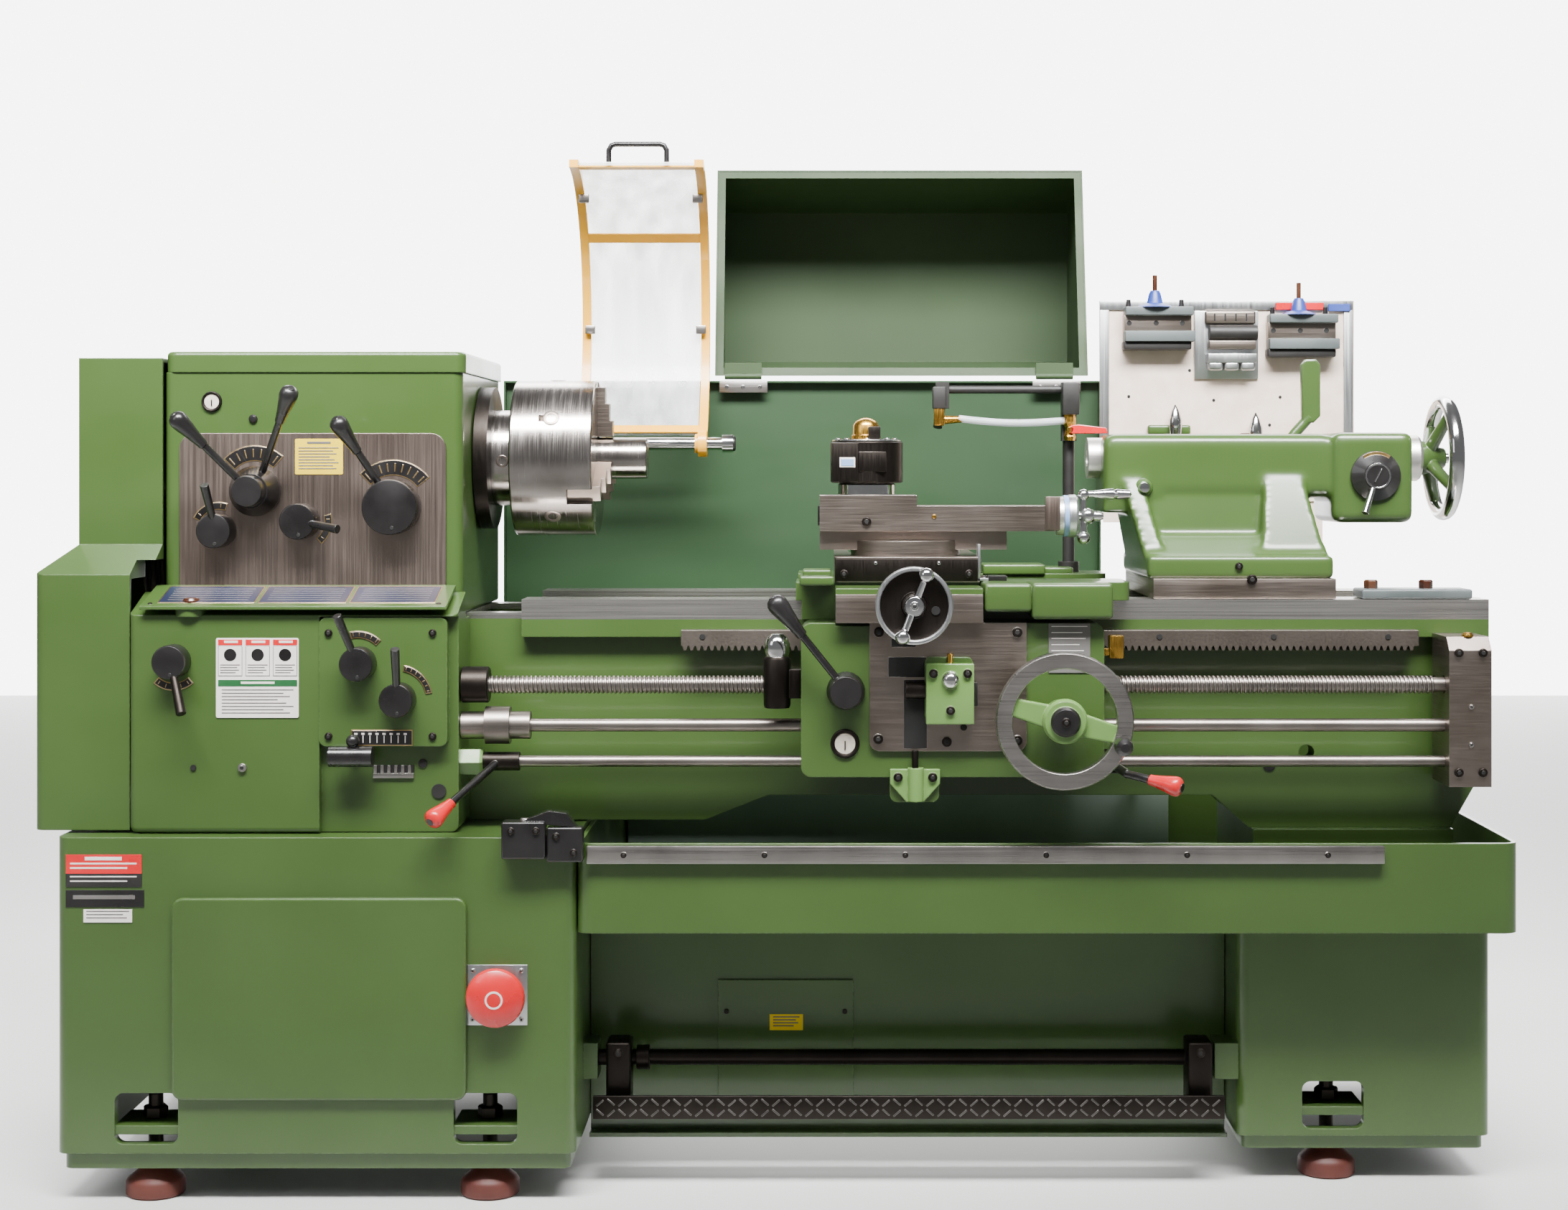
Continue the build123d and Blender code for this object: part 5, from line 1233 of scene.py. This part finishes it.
place("cross_slide_front", slide_parts, "cross_slide", "black_oxide")
top_parts = screw_ring([(130.0, -314.5, 920.0)], FRONT, 6.5)
top_parts.append(turned([(0.0, 0.0), (0.0, 3.4), (1.6, 2.6), (1.8, 0.0)], (225.0, -315.0, 927.0), FRONT,
    BRASS, 20))
top_parts.append(block((61.5, 64.5), (-300.0, -270.0), (914.0, 942.0), BLACK, 0.6, 2))
top_parts.append(block((381.0, 402.0), (-316.6, -313.0), (908.0, 955.0), BRUSHED, 0.8, 2))
place("top_slide_fittings", top_parts, "top_slide", "black_oxide")
print("saddle parts:", len(saddle_parts), "slide parts:", len(slide_parts))

# %% Thread dial and brass elbow
dial_body = [(0.0, 0.0), (0.0, 17.0), (4.0, 18.5), (66.0, 18.5), (70.0, 16.0), (70.0, 0.0)]
dial = [turned(dial_body, (6.0, -402.0, 667.0), (0.0, 0.0, 1.0), BLACK_OXIDE, 36)]
dial_top = [(0.0, 0.0), (0.0, 15.0), (6.0, 17.5), (18.0, 17.5), (26.0, 14.0), (31.0, 8.0), (32.0, 0.0)]
dial.append(turned(dial_top, (6.0, -402.0, 737.0), (0.0, 0.0, 1.0), CHROME, 36))
dial.append(block((20.0, 40.0), (-410.0, -394.0), (680.0, 720.0), BLACK_OXIDE, 2.0, 2))
place("thread_dial", dial, "carriage", "chrome")
elbow = [block((450.0, 462.0), (-400.0, -384.0), (738.0, 748.0), BRASS, 1.5, 2)]
elbow.append(block((461.0, 481.0), (-402.0, -382.0), (734.0, 766.0), BRASS, 2.0, 2))
place("coolant_brass_elbow", elbow, "carriage", "ground_steel")
print("thread dial and elbow made")

# %% [markdown]
# ## Coolant line
# Coolant comes up the black post, through a brass valve with a red lever, along a short clear hose and
# out of a brass elbow. The hose is only a hand long and held at both ends, so it is modelled with its
# slight sag and moves with the carriage.

# %% Coolant fittings
valve = [(0.0, 0.0), (0.0, 8.0), (6.0, 9.5), (12.0, 7.0), (20.0, 7.0), (24.0, 9.5), (34.0, 9.5),
    (40.0, 8.0), (40.0, 0.0)]
coolant = [turned(valve, (446.0, -9.0, 1037.5), (0.0, 0.0, 1.0), BRASS, 6)]
coolant.append(block((238.0, 254.0), (-17.0, -1.0), (1060.0, 1088.0), BRASS, 2.5, 3))
coolant.append(rod((250.0, -9.0, 1069.0), (282.0, -9.0, 1070.0), 7.0, BRASS, 5.0))
coolant.append(block((236.0, 256.0), (-19.0, 1.0), (1086.0, 1120.0), MATTE_BLACK, 2.0, 2))
coolant.append(block((434.0, 460.0), (-22.0, 4.0), (1077.0, 1126.0), MATTE_BLACK, 2.0, 2))
sag = [(276.0 + 162.0 * i / 14, -9.0,
    1071.0 - 5.0 * math.sin(math.pi * i / 14) - 3.0 * i / 14) for i in range(15)]
coolant.append(pipe(sag, 5.6, HOSE))
place("coolant_fittings", coolant, "carriage", "black_plastic")
tap = [rod((446.0, -14.0, 1054.0), (446.0, -20.0, 1054.0), 5.0, BRASS)]
blade = [(446.0, -20.0, 1048.0), (446.0, -20.0, 1060.0), (458.0, -20.0, 1062.0), (501.0, -20.0, 1057.0),
    (503.0, -20.0, 1048.0)]
tap.append(plate(blade, (0.0, 5.0, 0.0), RED, 1.2))
tap_lever = place("coolant_tap_lever", tap, "coolant_tap", "red_plastic")
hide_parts("coolant_tap")
print("coolant parts:", len(coolant))

# %% [markdown]
# ## Chuck guard, hood hinges and clamp lever
# The guard is a curved clear window in a yellow frame, with a black handle at its upper edge, four
# steel clips, and a yellow collar that grips the rod it swings on. Its pieces ride on the guard body.

# %% Guard fittings
GUARD_CENTRE = (-42.0, 1226.0)
GUARD_R = 235.0
handle_line = [(-258.0, 1462.0), (-258.0, 1480.0), (-254.0, 1487.0), (-248.0, 1489.0), (-180.0, 1489.0)]
handle_line += [(-174.0, 1487.0), (-170.0, 1480.0), (-170.0, 1462.0)]
guard_parts = [pipe([(x, -24.0, z) for x, z in handle_line], 4.0, BLACK)]
for angle in (56.0, -2.0):
    spot = math.radians(angle)
    y = GUARD_CENTRE[0] + (GUARD_R - 4.0) * math.cos(spot)
    z = GUARD_CENTRE[1] + (GUARD_R - 4.0) * math.sin(spot)
    for x in (-306.0, -128.0):
        guard_parts.append(block((x - 8.0, x + 8.0), (y - 14.0, y - 6.0), (z - 7.0, z + 7.0), STAINLESS,
            1.5, 2))
collar = [(-7.0, 10.4), (7.0, 10.4), (7.0, 15.0), (-7.0, 15.0), (-7.0, 10.4)]
guard_parts.append(turned(collar, (-126.0, 95.0, 1034.0), ALONG, YELLOW, 36))
place("guard_fittings", guard_parts, "chuck_guard", "yellow_enamel")
end_cap = [turned([(0.0, 0.0), (0.0, 12.0), (5.0, 12.0), (7.0, 10.0), (7.0, 0.0)],
    (-76.0, 95.0, 1034.0), ALONG, BLACK, 28)]
place("guard_rod_cap", end_cap, "machine", "black_plastic")
hinges = []
for left in (-100.0, 408.0):
    hinges.append(block((left, left + 78.0), (213.0, 215.8), (1118.0, 1136.0), STAINLESS, 0.6, 2))
    for x in (left + 12.0, left + 38.0, left + 66.0):
        hinges.append(turned([(0.0, 0.0), (0.0, 3.5), (1.5, 2.8), (2.0, 0.0)], (x, 213.2, 1127.0),
            FRONT, CHROME, 16))
place("hood_hinge_leaves", hinges, "machine", "ground_steel")
print("guard parts:", len(guard_parts), "hinge parts:", len(hinges))

# %% Tailstock clamp lever
stem = pipe([(772.0, -44.0, 1018.0), (773.0, -44.0, 1034.0), (784.0, -43.0, 1048.0),
    (806.0, -40.0, 1072.0)], 8.0, GREEN)
paddle_line = [(794.0, 1064.0), (812.0, 1064.0), (822.0, 1074.0), (822.0, 1152.0), (816.0, 1160.0),
    (799.0, 1160.0), (793.0, 1152.0)]
paddle = plate([(x, -48.0, z) for x, z in paddle_line], (0.0, 14.0, 0.0), GREEN, 2.5)
clamp = place("tailstock_clamp_paddle", [stem, paddle], "tailstock_clamp_lever", "green_enamel")
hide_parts("tailstock_clamp_lever")
print("clamp lever faces:", len(clamp.data.polygons))

# %% [markdown]
# ## Tool board
# The board behind the tailstock has an aluminium border and keeps spare tooling: two dovetail tool
# holders with blue clamps, a plate with soft jaws, and two lathe centres on pegs.

# %% Board border and holders
BOARD_Y = 190.0
border = [block((514.0, 922.0), (BOARD_Y - 3.0, BOARD_Y - 0.2), (1250.0, 1265.0), ALUMINIUM, 0.8, 2)]
border.append(block((514.0, 529.0), (BOARD_Y - 3.0, BOARD_Y - 0.2), (944.0, 1250.0), ALUMINIUM, 0.8, 2))
border.append(block((907.0, 922.0), (BOARD_Y - 3.0, BOARD_Y - 0.2), (944.0, 1250.0), ALUMINIUM, 0.8, 2))
# Dark discs of painted shade stand for holes in the board.
for x, z in ((561.0, 1111.0), (659.0, 1153.0), (698.0, 1105.0), (805.0, 1110.0), (788.0, 1065.0)):
    border.append(turned([(0.0, 0.0), (0.0, 2.4), (0.8, 2.4), (0.8, 0.0)], (x, BOARD_Y, z), FRONT, HOLE_SHADE_AND_MARK,
        16))
place("tool_board_border", border, "machine", "pale_sheet")


def tool_holder(x, top, name):
    """A dovetail tool holder with a blue clamp, a threaded stud and two pegs."""
    right = x + 114.0
    middle = x + 52.0
    y = BOARD_Y - 1.0
    parts = [block((x + 3.0, right - 2.0), (y - 34.0, y), (top - 14.0, top), MOTOR_GREY, 2.0, 2)]
    parts.append(block((x + 2.0, right - 4.0), (y - 22.0, y), (top - 40.0, top - 13.0), MILLED, 1.0, 2))
    parts.append(block((x + 2.0, right), (y - 36.0, y), (top - 56.0, top - 39.0), MOTOR_GREY, 1.5, 2))
    parts.append(block((x, right - 5.0), (y - 30.0, y), (top - 69.0, top - 55.0), MATTE_BLACK, 3.0, 2))
    # Dark discs of painted shade stand for the holes in the holder's face.
    for spot in (x + 10.0, x + 53.0, x + 95.0):
        parts.append(turned([(0.0, 0.0), (0.0, 4.0), (0.6, 4.0), (0.6, 0.0)],
            (spot, y - 21.8, top - 26.0), FRONT, HOLE_SHADE_AND_MARK, 20))
        if spot != x + 53.0:
            parts.append(rod((spot, y - 12.0, top - 3.0), (spot, y - 12.0, top + 12.0), 4.5, BLACK, 3.4))
    flare = [(0.0, 0.0), (0.0, 30.0), (3.0, 26.0), (7.0, 13.0), (22.0, 9.5), (27.0, 7.0), (28.0, 0.0)]
    parts.append(turned(flare, (middle, y - 14.0, top - 1.0), (0.0, 0.0, 1.0), DIAL_DEEP, 28))
    parts.append(rod((middle, y - 14.0, top + 24.0), (middle, y - 14.0, top + 51.0), 3.6, BROWN))
    return place(name, parts, "machine", "black_oxide")


DIAL_DEEP = moulded("blue_clamp_paint", "#2c3f8c", "#3a4f9e", 0.4)
tool_holder(549.0, 1254.0, "spare_tool_holder_1")
tool_holder(780.0, 1242.0, "spare_tool_holder_2")
strips = [block((797.0, 874.0), (BOARD_Y - 6.0, BOARD_Y - 3.2), (1250.0, 1262.0), RED, 0.6, 1)]
strips.append(block((882.0, 917.0), (BOARD_Y - 6.0, BOARD_Y - 3.2), (1248.0, 1260.0), DIAL_DEEP, 0.6, 1))
place("tool_board_strips", strips, "machine", "pale_sheet")
print("tool holders: 2")

# %% Spare jaws and centres
jaws = [block((666.0, 769.0), (BOARD_Y - 5.0, BOARD_Y - 0.4), (1139.0, 1249.0), ALUMINIUM, 1.5, 2)]
jaws.append(block((682.0, 763.0), (BOARD_Y - 16.0, BOARD_Y - 4.0), (1227.0, 1248.0), MILLED, 3.0, 3))
jaws.append(rod((688.0, BOARD_Y - 16.0, 1213.0), (765.0, BOARD_Y - 16.0, 1213.0), 12.5, MATTE_BLACK))
jaws.append(block((687.0, 762.0), (BOARD_Y - 26.0, BOARD_Y - 4.0), (1186.0, 1200.0), MILLED, 1.5, 2))
jaws.append(block((684.0, 762.0), (BOARD_Y - 32.0, BOARD_Y - 4.0), (1164.0, 1179.0), ALUMINIUM, 1.5, 2))
for left in (685.0, 711.0, 737.0):
    jaws.append(block((left, left + 23.0), (BOARD_Y - 31.0, BOARD_Y - 4.0), (1152.0, 1166.0), ALUMINIUM,
        4.0, 3))
# Thin dark strips of painted shade stand for the slots between the jaw teeth.
for index in range(4):
    jaws.append(block((696.0 + index * 17.0, 698.0 + index * 17.0), (BOARD_Y - 17.0, BOARD_Y - 15.5),
        (1232.0, 1244.0), HOLE_SHADE_AND_MARK, 0.2, 1))
place("spare_soft_jaws", jaws, "machine", "ground_steel")
point = [(0.0, 0.0), (0.0, 9.0), (20.0, 11.5), (30.0, 11.0), (44.0, 6.5), (54.0, 1.0), (55.0, 0.0)]
centres = []
for x, z, peg, finish in ((633.0, 1043.0, (590.0, 659.0), GREEN), (762.0, 1030.0, (738.0, 754.0), BROWN)):
    centres.append(turned(point, (x, BOARD_Y - 20.0, z), (0.0, 0.0, 1.0), CHROME, 36))
    centres.append(block(peg, (BOARD_Y - 14.0, BOARD_Y - 0.4), (z + 6.0, z + 22.0), finish, 4.0, 3))
    centres.append(block((x - 12.0, x + 12.0), (BOARD_Y - 30.0, BOARD_Y - 0.4), (z - 6.0, z + 2.0),
        ALUMINIUM, 1.5, 2))
place("spare_centres", centres, "machine", "chrome")
print("spare tooling made")

# %% [markdown]
# ## Stand, tray and safety parts
# The left pedestal has a shallow pressed door, a mushroom emergency stop on a square plate and a set of
# warning labels. Along the tray runs a steel rail with a stop. A checker-plate treadle hangs from a
# shaft between the pedestals, and red rubber pads carry the levelling screws.

# %% Pedestal door and emergency stop
FRONT_Y = -440.0
door = plate(round_rect((-811.0, -413.0), (141.0, 414.0), 14.0, FRONT_Y - 0.2), (0.0, -9.0, 0.0), GREEN,
    3.0)
place("motor_compartment_door", [door], "machine", "green_enamel")
seat = [block((-413.0, -331.0), (FRONT_Y - 1.5, FRONT_Y - 0.2), (241.0, 323.0), ALUMINIUM, 0.6, 2)]
sleeve = [(0.0, 24.0), (4.5, 24.0), (4.5, 30.0), (0.0, 31.0), (0.0, 24.0)]
seat.append(turned(sleeve, (-372.0, FRONT_Y - 1.3, 282.0), FRONT, YELLOW, 48))
seat += screw_ring([(x, FRONT_Y - 1.4, z) for x in (-405.0, -339.0) for z in (249.0, 315.0)], FRONT,
    3.2, STAINLESS)
place("emergency_stop_plate", seat, "machine", "ground_steel")
mushroom = [(0.0, 0.0), (0.0, 22.0), (6.0, 22.0), (8.0, 38.0), (14.0, 40.0), (20.0, 38.0), (26.0, 30.0),
    (29.0, 16.0), (30.0, 0.0)]
stop = [turned(mushroom, (-372.0, -446.8, 282.0), FRONT, RED, 64)]
stop.append(turned([(0.0, 9.0), (1.4, 9.5), (1.4, 12.0), (0.0, 12.5), (0.0, 9.0)],
    (-372.0, -475.0, 282.0), FRONT, WHITE, 32))
button = place("emergency_stop_mushroom", stop, "estop_button", "red_plastic")
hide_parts("estop_button")
print("door and stop button made")

# %% Pedestal labels and panel seals
LABEL_Y = FRONT_Y - 0.3
signs = [block((-956.0, -853.0), (LABEL_Y - 0.8, LABEL_Y), (446.0, 472.0), RED, 0.2, 1)]
signs += bars((-930.0, -880.0), (463.0, 469.0), 1, LABEL_Y - 0.7, WHITE, 0.8)
signs += bars((-950.0, -860.0), (449.0, 461.0), 2, LABEL_Y - 0.7, WHITE, 0.4, RAGGED)
signs.append(block((-956.0, -853.0), (LABEL_Y - 0.8, LABEL_Y), (428.0, 446.0), MATTE_BLACK, 0.2, 1))
signs += bars((-950.0, -860.0), (431.0, 443.0), 2, LABEL_Y - 0.7, WHITE, 0.3, RAGGED)
signs.append(block((-956.0, -850.0), (LABEL_Y - 0.8, LABEL_Y), (401.0, 424.0), BLACK, 0.2, 1))
signs += bars((-946.0, -862.0), (408.0, 417.0), 1, LABEL_Y - 0.7, PRINT_GREY, 0.6)
signs.append(block((-932.0, -866.0), (LABEL_Y - 0.8, LABEL_Y), (380.0, 398.0), WHITE, 0.2, 1))
signs += bars((-928.0, -870.0), (383.0, 396.0), 3, LABEL_Y - 0.7, PRINT_GREY, 0.35, RAGGED)
place("pedestal_labels", signs, "machine", "red_plastic")
panel_label = [block((-8.0, 40.0), (-239.0, -238.2), (188.0, 211.0), LABEL_YELLOW, 0.2, 1)]
panel_label += bars((-3.0, 35.0), (191.0, 208.0), 4, -238.9, PRINT_GREY, 0.4, RAGGED)
panel_label += screw_ring([(-70.0, -238.0, 215.0), (100.0, -238.0, 215.0)], FRONT, 3.5)
for x in (-263.5, 646.5):
    seal = block((x - 4.5, x + 4.5), (-229.6, -222.0), (66.0, 364.0), RUBBER, 1.0, 2)
    panel_label.append(seal)
place("stand_panel_fittings", panel_label, "machine", "yellow_enamel")
print("label sets: 2")

# %% Tray rail and stop
rail = [block((-250.0, 827.0), (-452.0, FRONT_Y - 0.2), (461.0, 485.0), STAINLESS, 1.0, 2)]
rail += [part for x in range(-200, 800, 190) for part in socket_screw((float(x), -451.5, 473.0), FRONT,
    4.0)]
place("tray_stop_rail", rail, "machine", "ground_steel")
stops = [block((-363.0, -304.0), (-470.0, FRONT_Y - 0.4), (470.0, 520.0), BLACK, 3.0, 3)]
stops.append(block((-303.0, -254.0), (-464.0, FRONT_Y - 0.4), (465.0, 512.0), BLACK, 3.0, 3))
wedge = [(-340.0, 519.0), (-262.0, 511.0), (-276.0, 531.0), (-300.0, 534.0)]
stops.append(plate([(x, -462.0, z) for x, z in wedge], (0.0, 20.0, 0.0), BLACK, 1.5))
stops += screw_ring([(-350.0, -469.0, 508.0), (-316.0, -469.0, 508.0), (-290.0, -463.0, 500.0),
    (-266.0, -463.0, 478.0)], FRONT, 5.0)
stops += screw_ring([(-333.0, -455.0, 519.0)], (0.0, 0.0, 1.0), 6.5, STAINLESS)
place("carriage_stop", stops, "machine", "black_plastic")
liner = [block((-255.0, 640.0), (296.0, 300.0), (374.0, 484.0), HAMMERED, 1.0, 2)]
place("tray_liner_sheet", liner, "machine", "pale_sheet")
print("rail, stop and liner made")

# %% Treadle
GUNMETAL = metal("worn_checker_plate_steel", "#4a4846", "#6a6764", 0.38, (8.0, 8.0, 8.0))
treadle = [rod((-262.0, -310.0, 167.0), (630.0, -310.0, 167.0), 11.0, BLACK_OXIDE)]
treadle.append(block((-249.0, 624.0), (-372.0, -318.0), (96.0, 102.0), BLACK_OXIDE, 1.0, 2))
treadle.append(block((-249.0, 624.0), (-374.0, -368.0), (96.0, 128.0), BLACK_OXIDE, 1.0, 2))
for arm_x in (-233.0, 577.0):
    treadle.append(block((arm_x, arm_x + 34.0), (-350.0, -298.0), (100.0, 196.0), BLACK_OXIDE, 4.0, 3))
    treadle += screw_ring([(arm_x + 17.0, -350.0, 182.0), (arm_x + 17.0, -350.0, 112.0)], FRONT, 6.0)
    treadle += [rod((arm_x + 40.0, -310.0, 167.0), (arm_x + 58.0, -310.0, 167.0), 17.0, BLACK_OXIDE)]
lug = block((0.0, 13.0), (-375.0, -373.6), (-1.3, 1.3), GUNMETAL, 0.6, 2)
pattern = []
for index in range(57):
    for row in (0, 1):
        fresh()
        lug.select_set(True)
        bpy.context.view_layer.objects.active = lug
        bpy.ops.object.duplicate()
        copy = bpy.context.object
        lean = 1.0 if (index + row) % 2 else -1.0
        bpy.ops.transform.rotate(value=math.radians(40.0 * lean), orient_axis="Y",
            center_override=(0.0075, -0.3745, 0.0))
        bpy.ops.transform.translate(value=in_metres((-246.0 + index * 15.2, 0.0, 105.0 + row * 14.0)))
        pattern.append(copy)
fresh()
lug.select_set(True)
bpy.ops.object.delete()
checker = settle(join("checker_lugs", pattern))
treadle.append(checker)
pedal = place("checker_plate_treadle", treadle, "foot_brake", "ground_steel")
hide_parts("foot_brake")
print("treadle lugs:", len(pattern))

# %% Levelling pads
pad = [(0.0, 0.0), (0.0, 37.0), (3.0, 40.0), (19.0, 40.0), (24.0, 37.0), (34.0, 24.0), (40.0, 19.0),
    (40.0, 0.0)]
feet = []
for x, y in ((-847.0, -392.0), (-847.0, 200.0), (-388.0, -392.0), (-388.0, 200.0), (780.0, -292.0),
    (780.0, 200.0)):
    feet.append(turned(pad, (x, y, 0.0), (0.0, 0.0, 1.0), FOOT_RED, 48))
    feet.append(rod((x, y, 38.0), (x, y, 138.0), 10.0, BLACK_OXIDE))
    feet.append(turned([(0.0, 0.0), (0.0, 15.0), (1.5, 17.0), (14.0, 17.0), (16.0, 15.0), (16.0, 0.0)],
        (x, y, 105.0), (0.0, 0.0, 1.0), BLACK_OXIDE, 6))
pads = place("levelling_pads", feet, "machine", "foot_pad")
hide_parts("levelling_feet")
print("pads: 6")

# %% [markdown]
# ## Bed end, bearing bracket and drive belts
# At the right end of the bed a dark stop block is bolted down, and a bracket carries the three rods.
# Behind the gear cover two belts join the motor to the headstock. They show when the cover is open.

# %% Bed fittings
fittings = [block((829.0, 985.0), (-303.0, -240.0), (810.4, 824.0), MOTOR_GREY, 3.0, 3)]
for x in (848.0, 926.0):
    fittings.append(turned([(0.0, 0.0), (0.0, 9.0), (2.0, 10.0), (11.0, 10.0), (13.0, 8.0),
        (13.0, 0.0)], (x, -272.0, 823.5), (0.0, 0.0, 1.0), BROWN, 6))
# Dark discs of painted shade stand for holes in the bed front.
fittings.append(turned([(0.0, 0.0), (0.0, 9.0), (1.0, 9.0), (1.0, 0.0)], (701.0, -285.4, 575.0), FRONT,
    HOLE_SHADE_AND_MARK, 28))
for x in range(-100, 900, 160):
    fittings.append(turned([(0.0, 0.0), (0.0, 4.0), (1.0, 4.0), (1.0, 0.0)], (float(x), -327.0, 759.0),
        FRONT, HOLE_SHADE_AND_MARK, 18))
place("bed_fittings", fittings, "machine", "black_oxide")
bracket = screw_ring([(x, -400.0, z) for x in (940.0, 973.0) for z in (742.0, 578.0)], FRONT, 6.0)
bracket += screw_ring([(957.0, -400.0, 668.0), (957.0, -400.0, 616.0)], FRONT, 3.6, STAINLESS)
oiler = [(0.0, 0.0), (0.0, 8.0), (3.0, 8.0), (6.0, 5.0), (7.0, 0.0)]
bracket.append(turned(oiler, (957.0, -380.0, 762.5), (0.0, 0.0, 1.0), BRASS, 28))
place("end_bracket_screws", bracket, "machine", "black_oxide")
belts = []
for x in (-936.0, -922.0, -908.0):
    upper = [(x, -30.0 + 79.0 * math.cos(math.radians(a)),
        860.0 + 79.0 * math.sin(math.radians(a))) for a in range(-5, 186, 15)]
    lower = [(x, -30.0 + 49.0 * math.cos(math.radians(a)),
        330.0 + 49.0 * math.sin(math.radians(a))) for a in range(185, 356, 15)]
    belts.append(pipe(upper + lower + upper[:1], 4.0, RUBBER, 3))
place("drive_belts", belts, "machine", "black_plastic")
print("bed fittings:", len(fittings), "belts:", len(belts))
